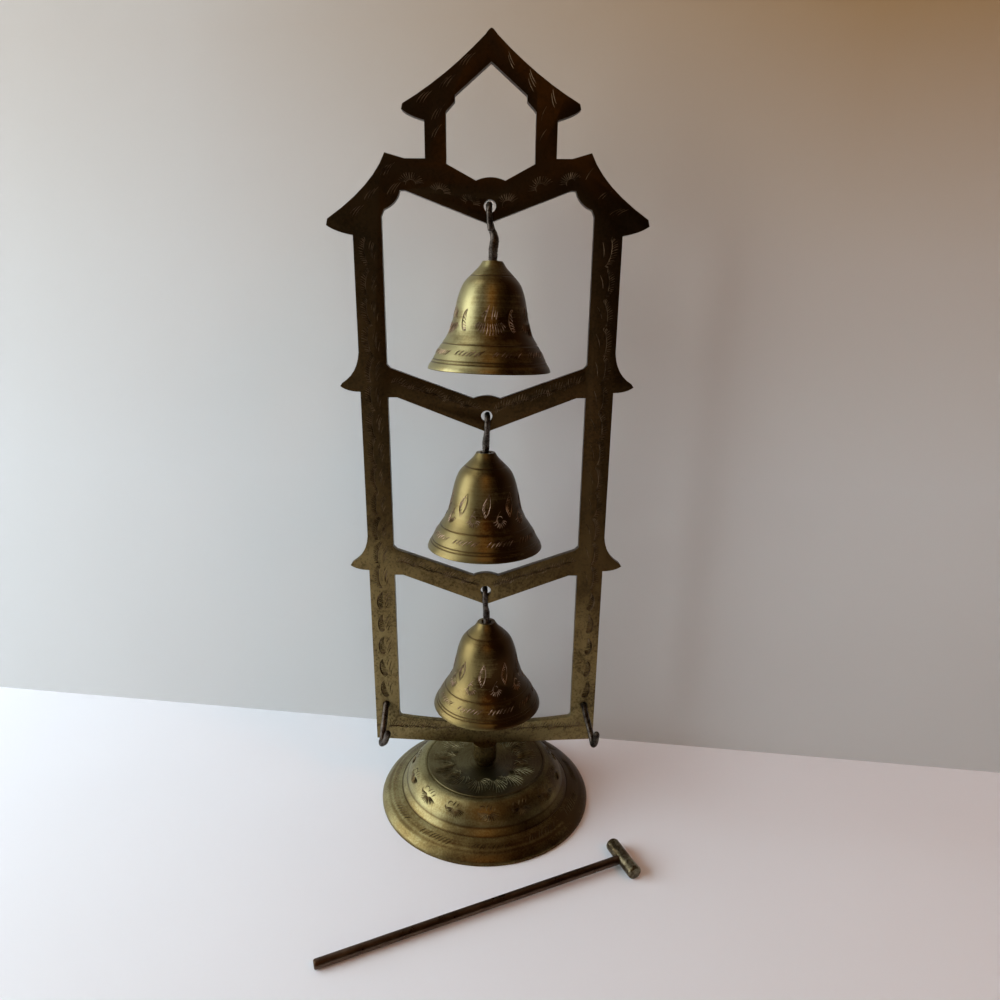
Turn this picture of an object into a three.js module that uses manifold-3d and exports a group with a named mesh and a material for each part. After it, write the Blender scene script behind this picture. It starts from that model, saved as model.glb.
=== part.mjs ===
// Bell tree: three turned bells hang in the windows of a flat pagoda-shaped frame on a round foot.
// Millimetres, +Z up. The frame's plate faces -Y. The origin is on the floor, in the middle of the
// footprint of the stand and of the mallet that lies in front of it.
import * as THREE from 'three';
import { mergeVertices } from 'three/addons/utils/BufferGeometryUtils.js';
import Module from 'manifold-3d';

const wasm = await Module();
wasm.setup();

// Clearances
const seatGap = 0.3; // between pieces that rest on or pass through each other
const overrun = 1; // how far a cutting body runs past the face it cuts

// Foot: a hollow turned disc with a rounded shoulder and a dished top
const foot = {
  radius: 50.9,
  height: 18,
  wall: 2.2,
  rimHeight: 3.7,
  rimBevel: 2.5,
  rimBulge: 0.2,
  rimLand: 0.9,
  rimWidth: 4.4,
  stepRadius: 41,
  stepHeight: 6.5,
  shoulderRadius: 38.5,
  shoulderHeight: 8.7,
  shoulderLean: 2.2,
  shoulderTop: 13.6,
  discLead: 4.4,
  discRadius: 29.1,
  dishRadius: 9,
  dishDepth: 1.8,
  groove: 0.4,
  hollowDiscRadius: 26.9,
  hollowShoulderRadius: 34.1,
  hollowShoulderHeight: 9.8,
  hollowStepRadius: 36.6,
  hollowStepHeight: 5.4,
};

// Plate of the frame and its round boss, which stands on a short neck
const plate = { thickness: 3, footHeight: 30.5, footRise: 2.3 };
const upright = { reach: 52.6, width: 11.3 };
const sill = { cornerHeight: 42.1, cornerRound: 2, sag: 3.1 };
const boss = {
  radius: 6.1,
  footRadius: 5.7,
  height: 11.2,
  edge: 0.5,
  flare: 2.8,
  neckRadius: 4.6,
  neckHeight: 1.6,
  boreDepth: 8.5,
};

// Tiers from the lowest up. A bell's rim hangs rimGap above the middle of the cross member below it.
// Its crown is below the hole by drop and beside the centre line by sway, and the bell leans by
// tiltDegrees. The strand of the hanger that rises from the bell runs in front of the plate
// (strandSide -1) or behind it (1), bows out to bowSway and passes the hole at hookSway. The
// strand's free end comes down on the plate's other side to endDrop below the hole.
const bottomTier = {
  name: 'bottom',
  rimGap: 11.4,
  holeSway: 0,
  drop: 15.8,
  sway: 0.4,
  tiltDegrees: -0.6,
  strandSide: -1,
  bowSway: 0.3,
  hookSway: -0.3,
  endSway: -0.3,
  endDrop: 5.6,
};
const middleTier = {
  name: 'middle',
  rimGap: 13.1,
  holeSway: 0,
  drop: 15.5,
  sway: -0.3,
  tiltDegrees: 0.4,
  strandSide: -1,
  bowSway: -0.2,
  hookSway: 0.3,
  endSway: 0.3,
  endDrop: 5.6,
};
const topTier = {
  name: 'top',
  rimGap: 10.3,
  holeSway: 0.8,
  drop: 19.8,
  sway: 2.1,
  tiltDegrees: 1.7,
  strandSide: 1,
  bowSway: 2.7,
  hookSway: 0.5,
  endSway: 1.1,
  endDrop: 9.2,
};
const tiers = [bottomTier, middleTier, topTier];
const holeRadius = 2.4;

// Chevron-shaped cross members, measured up or down from the hole's centre
const chevron = {
  vertexDrop: 6.6,
  underRise: 7.7,
  underCorner: 3.9,
  sideRise: 21.1,
  sideChamfer: 1.5,
  valleyRise: 7.4,
  valleyReach: 5.6,
  crest: 1.2,
};

// Small eaves on the uprights, and the flares above them
const eave = { overhang: 8.3, tipRise: 13.1, tipRound: 0.9, rootRise: 9.9, flareRise: 25.8 };
const eaveShares = { rootPull: 0.35, flarePull: 0.1, flareLift: 0.5 };

// Main roof, measured from the top hole's centre
const roof = {
  overhang: 10.2,
  tipDrop: 5.9,
  tipRound: 1.2,
  rootDrop: 10.5,
  shoulderSetIn: 13.4,
  shoulderRise: 18.3,
  deckSetIn: 20.8,
  deckRise: 16.3,
  underRise: 5.4,
  bracketSetIn: 7.5,
  bracketDrop: 1.3,
  bracketStep: 1.1,
  bracketFoot: 3.7,
  vertexDrop: 6.2,
};
const roofShares = { rootPull: 0.3, slopePull: 0.2, slopeSag: 0.47, bracketPull: 0.3 };

// Little house on top: two posts under a pitched roof, a little to the right of the centre line
const house = {
  sway: 1,
  postSetIn: 6.9,
  postWidth: 8.05,
  postRise: 29.1,
  overhang: 8.5,
  eaveRise: 33.6,
  eaveRound: 0.9,
  apexRise: 58.4,
  apexRound: 2.2,
  innerApexRise: 48,
  innerStep: 3.45,
  innerEaveRise: 37.3,
  bracketRise: 31.9,
  bracketStep: 1.9,
  floorRise: 14.5,
  valleyRise: 8.8,
};
const houseShares = {
  rootPull: 0.25,
  rootLift: 0.2,
  slopePull: 0.5,
  slopeSag: 0.62,
  apexSlope: 0.9,
  apexPull: 0.33,
};

// Bells: a turned profile of rim radius and height, with one wall thickness
const bell = {
  rimRadius: 25.4,
  height: 42,
  wall: 1.6,
  lip: 1.9,
  crownThickness: 7.5,
  ceilingRadius: 6.6,
  holeRadius: 2.4,
};
const bellProfileShares = [
  [1, 0],
  [0.985, 0.03],
  [0.929, 0.086],
  [0.857, 0.167],
  [0.774, 0.248],
  [0.705, 0.31],
  [0.646, 0.386],
  [0.598, 0.49],
  [0.561, 0.6],
  [0.522, 0.695],
  [0.451, 0.798],
  [0.36, 0.862],
  [0.304, 0.896],
  [0.222, 0.945],
  [0.16, 1],
];

// Hangers: a threaded shank, drawn out into a thinner hook
const hanger = { shankRadius: 1.65, wireRadius: 1.1, wireGap: 0.4, tailBelowNut: 1.2 };
// Shares of the way from the crown up to the plate's vertex, and of the strand's way to the plate's side
const shankTopShare = 0.34;
const bowShares = { rise: 0.62, depth: 0.5 };
const uprightShares = { rise: 0.93, sway: 0.55 };
const endShares = { rise: 0.5 };
const crownWasher = { radius: 5, thickness: 0.9, dome: 0.9, domeShare: 0.72 };
const crownNut = { acrossFlats: 6, thickness: 2.4, chamfer: 0.35 };

// Fastening of the frame to the foot
const footStud = { radius: 2.5, tailBelowNut: 1.6 };
const footWasher = { radius: 7, thickness: 1.2 };
const footNut = { acrossFlats: 8, thickness: 4, chamfer: 0.5 };

// Wire hooks at the feet of the uprights, which carry the mallet when it is put away
const rest = {
  wireRadius: 1.45,
  setIn: 5.1,
  rootHeight: 49.2,
  bendHeight: 36.6,
  bendDepth: 13.4,
  bendRise: 1.9,
  tipDepth: 16.2,
  tipHeight: 44.1,
  rivetRadius: 2.7,
  rivetThickness: 1.1,
  rivetChamfer: 0.35,
};
const leftRest = { name: 'left', side: -1, bendSway: 0.8, tipSway: -2.8 };
const rightRest = { name: 'right', side: 1, bendSway: 3.1, tipSway: 4.3 };
const restSides = [leftRest, rightRest];
const restSlopeShares = [0.2, 0.55, 0.9];

// Mallet: a thin rod with a short cross head, which lies in front of the foot
const mallet = {
  length: 132.1,
  rodRadius: 1.9,
  headRadius: 3.2,
  headLength: 18.8,
  headEdge: 0.5,
  rodEdge: 0.4,
  socketDepth: 3.6,
  farX: -62.05,
  farY: -98.9,
  headingDegrees: 22.25,
};

// Facets
const facets = {
  foot: 48,
  bell: 36,
  small: 16,
  wire: 8,
  rod: 12,
  curve: 6,
  hangerSteps: 40,
  restSteps: 24,
  hookArc: 6,
};

let memberTop = sill.cornerHeight - sill.sag;
tiers.forEach((tier) => {
  tier.holeHeight = memberTop + tier.rimGap + bell.height + tier.drop;
  memberTop = tier.holeHeight + chevron.valleyRise + chevron.crest;
});
const innerReach = upright.reach - upright.width;
const eaveReach = upright.reach + eave.overhang;
const roofReach = upright.reach + roof.overhang;
const shoulderReach = upright.reach - roof.shoulderSetIn;
const deckReach = upright.reach - roof.deckSetIn;
const bracketReach = innerReach - roof.bracketSetIn;
const postReach = deckReach - house.postSetIn;
const postInner = postReach - house.postWidth;
const houseReach = postReach + house.overhang;
const restReach = upright.reach - rest.setIn;
const heading = THREE.MathUtils.degToRad(mallet.headingDegrees);
const malletReach = mallet.farX
  + (mallet.length + mallet.headRadius) * Math.cos(heading)
  + mallet.headLength / 2 * Math.sin(heading);
// Puts the middle of the whole footprint at the origin
const setAside = (roofReach - malletReach) / 2;
const setBack = (mallet.rodRadius - mallet.farY - foot.radius) / 2;
const dishHeight = foot.height - foot.dishDepth;
const sillFoot = plate.footHeight - plate.footRise;
const bossFoot = dishHeight + seatGap;
const bossTop = bossFoot + boss.height;
const topHole = topTier.holeHeight;
const plateFront = plate.thickness / 2;

const finishes = {
  agedBrass: { color: 0x7a6636, roughness: 0.42, metalness: 1 },
  darkBrass: { color: 0x5c4a24, roughness: 0.5, metalness: 1 },
  bellBrass: { color: 0x8f7a3f, roughness: 0.3, metalness: 1 },
  blackIron: { color: 0x2b2622, roughness: 0.6, metalness: 0.9 },
  steel: { color: 0x6d6659, roughness: 0.38, metalness: 1 },
};

// Solids

function toSolid(geometry) {
  const bare = geometry.clone();
  bare.deleteAttribute('normal');
  bare.deleteAttribute('uv');
  const merged = mergeVertices(bare);
  const index = merged.index.array;
  const triangles = [];
  for (let i = 0; i < index.length; i += 3) {
    const [a, b, c] = index.slice(i, i + 3);
    if (a !== b && b !== c && c !== a) triangles.push(a, b, c);
  }
  return new wasm.Manifold(new wasm.Mesh({
    numProp: 3,
    vertProperties: new Float32Array(merged.attributes.position.array),
    triVerts: new Uint32Array(triangles),
  }));
}

function toGeometry(solid) {
  const mesh = solid.getMesh();
  const geometry = new THREE.BufferGeometry();
  geometry.setAttribute('position', new THREE.BufferAttribute(mesh.vertProperties, 3));
  geometry.setIndex(new THREE.BufferAttribute(mesh.triVerts, 1));
  const faceted = geometry.toNonIndexed();
  faceted.computeVertexNormals();
  return faceted;
}

// Turns a closed outline of [radius, height] points about the Z axis.
function turned(outline, sides) {
  const points = outline.map(([radius, height]) => new THREE.Vector2(radius, height));
  return new THREE.LatheGeometry(points, sides).rotateX(Math.PI / 2);
}

function disc(radius, bottom, top, sides, edge) {
  return turned([
    [0, bottom],
    [radius - edge, bottom],
    [radius, bottom + edge],
    [radius, top - edge],
    [radius - edge, top],
    [0, top],
  ], sides);
}

function bore(radius, bottom, top) {
  return toSolid(turned([[0, bottom], [radius, bottom], [radius, top], [0, top]], facets.small));
}

function hexagonNut(size, holeSize, bottom) {
  const shape = new THREE.Shape();
  const cornerRadius = size.acrossFlats / 2 / Math.cos(Math.PI / 6);
  for (let i = 0; i < 6; i += 1) {
    const angle = i * Math.PI / 3;
    const x = cornerRadius * Math.cos(angle);
    const y = cornerRadius * Math.sin(angle);
    if (i === 0) shape.moveTo(x, y);
    else shape.lineTo(x, y);
  }
  const block = new THREE.ExtrudeGeometry(shape, { depth: size.thickness, bevelEnabled: false });
  block.translate(0, 0, bottom);
  const top = bottom + size.thickness;
  const rounding = disc(cornerRadius, bottom, top, facets.small, size.chamfer);
  const hole = bore(holeSize, bottom - overrun, top + overrun);
  return toGeometry(toSolid(block).intersect(toSolid(rounding)).subtract(hole));
}

function ringWasher(radius, holeSize, bottom, thickness) {
  return turned([
    [holeSize, bottom],
    [radius, bottom],
    [radius, bottom + thickness],
    [holeSize, bottom + thickness],
    [holeSize, bottom],
  ], facets.small);
}

// A round bar along a curve
function bar(curve, radius, sides, steps) {
  const section = new THREE.Shape();
  for (let i = 0; i < sides; i += 1) {
    const angle = (i + 0.5) * 2 * Math.PI / sides;
    const x = radius * Math.cos(angle);
    const y = radius * Math.sin(angle);
    if (i === 0) section.moveTo(x, y);
    else section.lineTo(x, y);
  }
  return new THREE.ExtrudeGeometry(section, { steps, extrudePath: curve, bevelEnabled: false });
}

// Foot

function makeFoot() {
  const shoulder = new THREE.CubicBezierCurve(
    new THREE.Vector2(foot.shoulderRadius, foot.shoulderHeight + foot.groove),
    new THREE.Vector2(foot.shoulderRadius - foot.shoulderLean, foot.shoulderTop),
    new THREE.Vector2(foot.discRadius + foot.discLead, foot.height - foot.groove),
    new THREE.Vector2(foot.discRadius, foot.height),
  );
  const rimTop = foot.radius - foot.rimBevel;
  const outer = [
    [foot.radius, 0],
    [foot.radius, foot.rimLand],
    [(foot.radius + rimTop) / 2 + foot.rimBulge, (foot.rimHeight + foot.rimLand) / 2],
    [rimTop, foot.rimHeight],
    [foot.stepRadius, foot.stepHeight],
    [foot.stepRadius - foot.groove, foot.stepHeight - foot.groove],
    [foot.shoulderRadius + foot.groove, foot.shoulderHeight],
    ...shoulder.getPoints(facets.curve).map((point) => [point.x, point.y]),
  ];
  const underDisc = dishHeight - foot.wall;
  const inner = [
    [foot.hollowDiscRadius, underDisc],
    [foot.hollowShoulderRadius, foot.hollowShoulderHeight],
    [foot.hollowStepRadius, foot.hollowStepHeight],
    [foot.radius - foot.rimWidth, 0],
  ];
  const studHole = footStud.radius + seatGap;
  const dish = [[foot.dishRadius, dishHeight], [studHole, dishHeight], [studHole, underDisc]];
  const profile = [...outer, ...dish, ...inner, outer[0]];
  return turned(profile, facets.foot);
}

function makeFootStud() {
  const bottom = footNutBottom() - footStud.tailBelowNut;
  const top = bossFoot + boss.boreDepth - seatGap;
  return disc(footStud.radius, bottom, top, facets.small, seatGap);
}

function footWasherBottom() {
  return dishHeight - foot.wall - seatGap - footWasher.thickness;
}

function footNutBottom() {
  return footWasherBottom() - seatGap - footNut.thickness;
}

// Frame

function mirrored(points) {
  return points.map((point) => new THREE.Vector2(-point.x, point.y)).reverse();
}

// Closes a right-hand half outline, which runs from the centre line back to it, with its mirror image.
function closedOutline(half) {
  const points = half.getPoints(facets.curve);
  const both = [...points, ...mirrored(points)];
  return both.filter((point, i) => point.distanceTo(both[(i + both.length - 1) % both.length]) > 0);
}

function addEave(path, level) {
  const tip = level + eave.tipRise;
  const root = level + eave.rootRise;
  path.lineTo(upright.reach, root);
  path.quadraticCurveTo(
    eaveReach - eave.overhang * eaveShares.rootPull,
    root,
    eaveReach,
    tip - eave.tipRound,
  );
  path.lineTo(eaveReach - eave.tipRound, tip + eave.tipRound / 2);
  const flareTop = level + eave.flareRise;
  path.quadraticCurveTo(
    upright.reach + eave.overhang * eaveShares.flarePull,
    tip + eave.overhang * eaveShares.flareLift,
    upright.reach,
    flareTop,
  );
}

function addMainRoof(path) {
  const tip = topHole - roof.tipDrop;
  const root = topHole - roof.rootDrop;
  const shoulder = topHole + roof.shoulderRise;
  const run = roofReach - shoulderReach;
  path.lineTo(upright.reach, root);
  path.quadraticCurveTo(
    roofReach - roof.overhang * roofShares.rootPull,
    root + roof.tipRound,
    roofReach,
    tip - roof.tipRound,
  );
  path.lineTo(roofReach - roof.tipRound / 2, tip + roof.tipRound);
  path.quadraticCurveTo(
    shoulderReach + run * roofShares.slopePull,
    shoulder + (tip - shoulder) * roofShares.slopeSag,
    shoulderReach,
    shoulder,
  );
  const deck = topHole + roof.deckRise;
  path.lineTo(deckReach, deck);
  path.lineTo(postReach, deck);
}

function addHouseRoof(path) {
  const postTop = topHole + house.postRise;
  const tip = topHole + house.eaveRise;
  const apex = topHole + house.apexRise;
  path.lineTo(postReach, postTop);
  path.quadraticCurveTo(
    houseReach - house.overhang * houseShares.rootPull,
    postTop + house.overhang * houseShares.rootLift,
    houseReach,
    tip - house.eaveRound,
  );
  path.lineTo(houseReach - house.eaveRound / 2, tip + house.eaveRound);
  path.quadraticCurveTo(
    houseReach * houseShares.slopePull,
    apex + (tip - apex) * houseShares.slopeSag,
    house.apexRound,
    apex - house.apexRound * houseShares.apexSlope,
  );
  path.quadraticCurveTo(house.apexRound * houseShares.apexPull, apex, 0, apex);
}

function plateOutline() {
  const path = new THREE.Path();
  const bossSide = (boss.radius + boss.footRadius) / 2;
  path.moveTo(0, bossTop - boss.flare);
  path.lineTo(bossSide, bossTop - boss.flare);
  path.quadraticCurveTo(boss.radius, sillFoot, boss.radius + boss.flare, sillFoot);
  path.lineTo(upright.reach, plate.footHeight);
  tiers.slice(0, -1).forEach((tier) => addEave(path, tier.holeHeight));
  addMainRoof(path);
  addHouseRoof(path);
  const deck = topHole + roof.deckRise;
  const shoulder = topHole + roof.shoulderRise;
  return closedOutline(path).map((point) => {
    const onHouse = point.y > shoulder || (point.y === deck && Math.abs(point.x) <= postReach);
    return onHouse ? new THREE.Vector2(point.x + house.sway, point.y) : point;
  });
}

// Upper edge of a chevron, from the centre line out to the upright
function addChevronTop(path, level) {
  path.moveTo(0, level + chevron.valleyRise + chevron.crest);
  path.quadraticCurveTo(
    chevron.valleyReach / 2,
    level + chevron.valleyRise + chevron.crest,
    chevron.valleyReach,
    level + chevron.valleyRise,
  );
  path.lineTo(innerReach - chevron.sideChamfer, level + chevron.sideRise - chevron.sideChamfer);
  path.lineTo(innerReach, level + chevron.sideRise);
}

function addSillTop(path) {
  path.moveTo(0, sill.cornerHeight - sill.sag);
  path.quadraticCurveTo(
    innerReach / 2,
    sill.cornerHeight - sill.sag,
    innerReach - sill.cornerRound,
    sill.cornerHeight,
  );
  path.quadraticCurveTo(innerReach, sill.cornerHeight, innerReach, sill.cornerHeight + sill.cornerRound);
}

// Lower edge of a chevron, from the upright in to the centre line
function addChevronUnderside(path, level) {
  path.lineTo(innerReach, level + chevron.underRise);
  path.lineTo(innerReach - chevron.underCorner, level + chevron.underRise);
  path.lineTo(0, level - chevron.vertexDrop);
}

function addRoofUnderside(path) {
  const bracketTop = topHole + roof.underRise;
  const bracketFoot = topHole - roof.bracketDrop;
  path.lineTo(innerReach, topHole - roof.bracketFoot);
  path.lineTo(innerReach - roof.bracketStep, bracketFoot);
  path.quadraticCurveTo(
    bracketReach + roof.bracketStep,
    bracketFoot + (bracketTop - bracketFoot) * roofShares.bracketPull,
    bracketReach,
    bracketTop,
  );
  path.lineTo(deckReach, bracketTop);
  path.lineTo(0, topHole - roof.vertexDrop);
}

function houseWindow() {
  const path = new THREE.Path();
  const valley = topHole + house.valleyRise;
  path.moveTo(0, valley + chevron.crest);
  path.quadraticCurveTo(chevron.valleyReach / 2, valley + chevron.crest, chevron.valleyReach, valley);
  path.lineTo(postInner, topHole + house.floorRise);
  path.lineTo(postInner, topHole + house.bracketRise);
  path.lineTo(postInner - house.bracketStep, topHole + house.bracketRise + house.bracketStep);
  path.lineTo(postInner - house.innerStep, topHole + house.innerEaveRise - house.bracketStep);
  path.lineTo(postInner - house.innerStep, topHole + house.innerEaveRise);
  path.lineTo(0, topHole + house.innerApexRise);
  return closedOutline(path).map((point) => new THREE.Vector2(point.x + house.sway, point.y));
}

function tierWindow(tierNumber) {
  const path = new THREE.Path();
  const isTop = tierNumber === tiers.length - 1;
  if (tierNumber === 0) addSillTop(path);
  else addChevronTop(path, tiers[tierNumber - 1].holeHeight);
  if (isTop) addRoofUnderside(path);
  else addChevronUnderside(path, tiers[tierNumber].holeHeight);
  return closedOutline(path);
}

function roundHole(x, height, radius) {
  return new THREE.Path().absarc(x, height, radius, 0, 2 * Math.PI, true).getPoints(facets.curve * 2);
}

function makeFrame() {
  const shape = new THREE.Shape(plateOutline());
  shape.holes.push(new THREE.Path(houseWindow()));
  tiers.forEach((tier, i) => {
    shape.holes.push(new THREE.Path(tierWindow(i)));
    shape.holes.push(new THREE.Path(roundHole(tier.holeSway, tier.holeHeight, holeRadius)));
  });
  restSides.forEach(({ side }) => {
    const holeSize = rest.wireRadius + seatGap;
    shape.holes.push(new THREE.Path(roundHole(side * restReach, rest.rootHeight, holeSize)));
  });
  const slab = new THREE.ExtrudeGeometry(shape, { depth: plate.thickness, bevelEnabled: false });
  slab.translate(0, 0, -plateFront);
  slab.rotateX(Math.PI / 2);
  const bossBody = turned([
    [0, bossFoot],
    [boss.neckRadius, bossFoot],
    [boss.neckRadius, bossFoot + boss.neckHeight],
    [boss.footRadius - boss.edge, bossFoot + boss.neckHeight],
    [boss.footRadius, bossFoot + boss.neckHeight + boss.edge],
    [boss.radius, bossTop - boss.edge],
    [boss.radius - boss.edge, bossTop],
    [0, bossTop],
  ], facets.small);
  const studBore = bore(footStud.radius + seatGap, bossFoot - overrun, bossFoot + boss.boreDepth);
  return toGeometry(toSolid(slab).add(toSolid(bossBody)).subtract(studBore));
}

// Bells and what hangs them. Each of these pieces is made with the crown's top at its own origin.

const ceiling = -bell.crownThickness;
const crownWasherTop = ceiling - seatGap;
const crownWasherBottom = crownWasherTop - crownWasher.dome - crownWasher.thickness;
const crownNutBottom = crownWasherBottom - seatGap - crownNut.thickness;

function makeBell() {
  const rim = -bell.height;
  const outer = bellProfileShares.map(([radiusShare, heightShare]) => (
    new THREE.Vector2(bell.rimRadius * radiusShare, rim + bell.height * heightShare)
  ));
  const skin = new THREE.SplineCurve(outer);
  const inner = [];
  for (let i = outer.length - 1; i > 1; i -= 1) {
    const share = i / (outer.length - 1);
    const point = skin.getPoint(share);
    const slope = skin.getTangent(share);
    const inset = new THREE.Vector2(point.x - bell.wall * slope.y, point.y + bell.wall * slope.x);
    if (inset.y < ceiling && inset.x > bell.ceilingRadius) inner.push([inset.x, inset.y]);
  }
  const profile = [
    ...outer.map((point) => [point.x, point.y]),
    [bell.holeRadius, 0],
    [bell.holeRadius, ceiling],
    [bell.ceilingRadius, ceiling],
    ...inner,
    [bell.rimRadius - bell.lip, rim],
    [outer[0].x, outer[0].y],
  ];
  return turned(profile, facets.bell);
}

function makeCrownWasher() {
  const edgeTop = crownWasherTop - crownWasher.dome;
  const holeSize = hanger.shankRadius + seatGap;
  return turned([
    [holeSize, crownWasherBottom],
    [crownWasher.radius, crownWasherBottom],
    [crownWasher.radius, edgeTop],
    [(crownWasher.radius + holeSize) / 2, edgeTop + crownWasher.dome * crownWasher.domeShare],
    [holeSize, crownWasherTop],
    [holeSize, crownWasherBottom],
  ], facets.small);
}

// Where the pieces at a bell's crown stand in the frame
function crownPlace(tier) {
  const place = new THREE.Object3D();
  place.position.set(tier.sway, 0, tier.holeHeight - tier.drop);
  place.rotation.y = THREE.MathUtils.degToRad(tier.tiltDegrees);
  place.updateMatrix();
  return place.matrix;
}

function vertexHeight(tier) {
  const drop = tier.holeHeight === topHole ? roof.vertexDrop : chevron.vertexDrop;
  return tier.holeHeight - drop;
}

function hangerCurve(tier) {
  const crownMatrix = crownPlace(tier);
  const onShank = (height) => new THREE.Vector3(0, 0, height).applyMatrix4(crownMatrix);
  const lip = tier.holeHeight - holeRadius;
  const crown = tier.holeHeight - tier.drop;
  const rise = vertexHeight(tier) - crown;
  const bend = plateFront + hanger.wireGap + hanger.wireRadius;
  const strandDepth = bend * tier.strandSide;
  const uprightSway = THREE.MathUtils.lerp(tier.bowSway, tier.hookSway, uprightShares.sway);
  const points = [
    onShank(crownNutBottom),
    onShank(0),
    onShank(rise * shankTopShare),
    new THREE.Vector3(tier.bowSway, strandDepth * bowShares.depth, crown + rise * bowShares.rise),
    new THREE.Vector3(uprightSway, strandDepth, crown + rise * uprightShares.rise),
  ];
  for (let i = 0; i <= facets.hookArc; i += 1) {
    const angle = i * Math.PI / facets.hookArc;
    points.push(new THREE.Vector3(
      tier.hookSway,
      strandDepth * Math.cos(angle),
      lip + bend * Math.sin(angle),
    ));
  }
  const end = tier.holeHeight - tier.endDrop;
  points.push(new THREE.Vector3(
    THREE.MathUtils.lerp(tier.hookSway, tier.endSway, endShares.rise),
    -strandDepth,
    THREE.MathUtils.lerp(lip, end, endShares.rise),
  ));
  points.push(new THREE.Vector3(tier.endSway, -strandDepth, end));
  return new THREE.CatmullRomCurve3(points, false, 'centripetal');
}

// Draws the bar of a hanger out from the radius of its hook to that of its shank, from the lip down.
function thickened(geometry, curve, tier) {
  const centres = curve.getSpacedPoints(facets.hangerSteps);
  const positions = geometry.attributes.position;
  const corner = new THREE.Vector3();
  for (let i = 0; i < positions.count; i += 1) {
    corner.fromBufferAttribute(positions, i);
    const ring = centres.reduce((best, centre) => (
      centre.distanceTo(corner) < best.distanceTo(corner) ? centre : best
    ));
    const onFreeEnd = -ring.y * tier.strandSide > plateFront;
    const crown = tier.holeHeight - tier.drop;
    const share = onFreeEnd ? 1 : THREE.MathUtils.smoothstep(ring.z, crown, tier.holeHeight - holeRadius);
    const radius = THREE.MathUtils.lerp(hanger.shankRadius, hanger.wireRadius, share);
    corner.sub(ring).multiplyScalar(radius / hanger.wireRadius).add(ring);
    positions.setXYZ(i, corner.x, corner.y, corner.z);
  }
  return geometry;
}

function makeHanger(tier) {
  const curve = hangerCurve(tier);
  const wire = bar(curve, hanger.wireRadius, facets.wire, facets.hangerSteps);
  const drawn = thickened(wire, curve, tier);
  const shank = turned([
    [0, crownNutBottom - hanger.tailBelowNut],
    [hanger.shankRadius, crownNutBottom - hanger.tailBelowNut],
    [hanger.shankRadius, hanger.shankRadius],
    [0, hanger.shankRadius],
  ], facets.rod);
  shank.applyMatrix4(crownPlace(tier));
  return toGeometry(toSolid(drawn).add(toSolid(shank)));
}

// Mallet rests

function restCurve({ side, bendSway, tipSway }) {
  const frontFace = -plateFront;
  const back = plateFront + seatGap + rest.rivetThickness / 2;
  const across = (sway) => side * (restReach + sway);
  const low = rest.bendHeight;
  const slope = (share) => new THREE.Vector3(
    across(bendSway * share),
    frontFace - rest.wireRadius + (plateFront + rest.wireRadius - rest.bendDepth) * share,
    rest.rootHeight - rest.wireRadius / 2 + (low - rest.rootHeight + rest.wireRadius) * share,
  );
  return new THREE.CatmullRomCurve3([
    new THREE.Vector3(across(0), back, rest.rootHeight),
    new THREE.Vector3(across(0), frontFace, rest.rootHeight),
    ...restSlopeShares.map(slope),
    new THREE.Vector3(across(bendSway), -(rest.bendDepth + rest.tipDepth) / 2, low),
    new THREE.Vector3(across((bendSway + tipSway) / 2), -rest.tipDepth, low + rest.bendRise),
    new THREE.Vector3(across(tipSway), -rest.tipDepth, rest.tipHeight),
  ], false, 'centripetal');
}

function makeMalletRest(place) {
  const wire = bar(restCurve(place), rest.wireRadius, facets.wire, facets.restSteps);
  const rivet = disc(rest.rivetRadius, 0, rest.rivetThickness, facets.small, rest.rivetChamfer);
  rivet.rotateX(-Math.PI / 2);
  rivet.translate(place.side * restReach, plateFront + seatGap, rest.rootHeight);
  return toGeometry(toSolid(wire).add(toSolid(rivet)));
}

// Mallet, along +X from the far end of its rod, with the axis of its head along Y

function makeMalletRod() {
  const end = mallet.length - mallet.headRadius + mallet.socketDepth - seatGap;
  return disc(mallet.rodRadius, 0, end, facets.rod, mallet.rodEdge).rotateY(Math.PI / 2);
}

function makeMalletHead() {
  const half = mallet.headLength / 2;
  const head = disc(mallet.headRadius, -half, half, facets.small, mallet.headEdge);
  head.rotateX(Math.PI / 2);
  head.translate(mallet.length, 0, 0);
  const faceX = mallet.length - mallet.headRadius;
  const socket = turned([
    [0, faceX - overrun],
    [mallet.rodRadius + seatGap, faceX - overrun],
    [mallet.rodRadius + seatGap, faceX + mallet.socketDepth],
    [0, faceX + mallet.socketDepth],
  ], facets.rod).rotateY(Math.PI / 2);
  return toGeometry(toSolid(head).subtract(toSolid(socket)));
}

// Assembly

function piece(name, geometry, finish) {
  const mesh = new THREE.Mesh(geometry, new THREE.MeshStandardMaterial(finishes[finish]));
  mesh.name = name;
  return mesh;
}

const bellTree = new THREE.Group();

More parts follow.
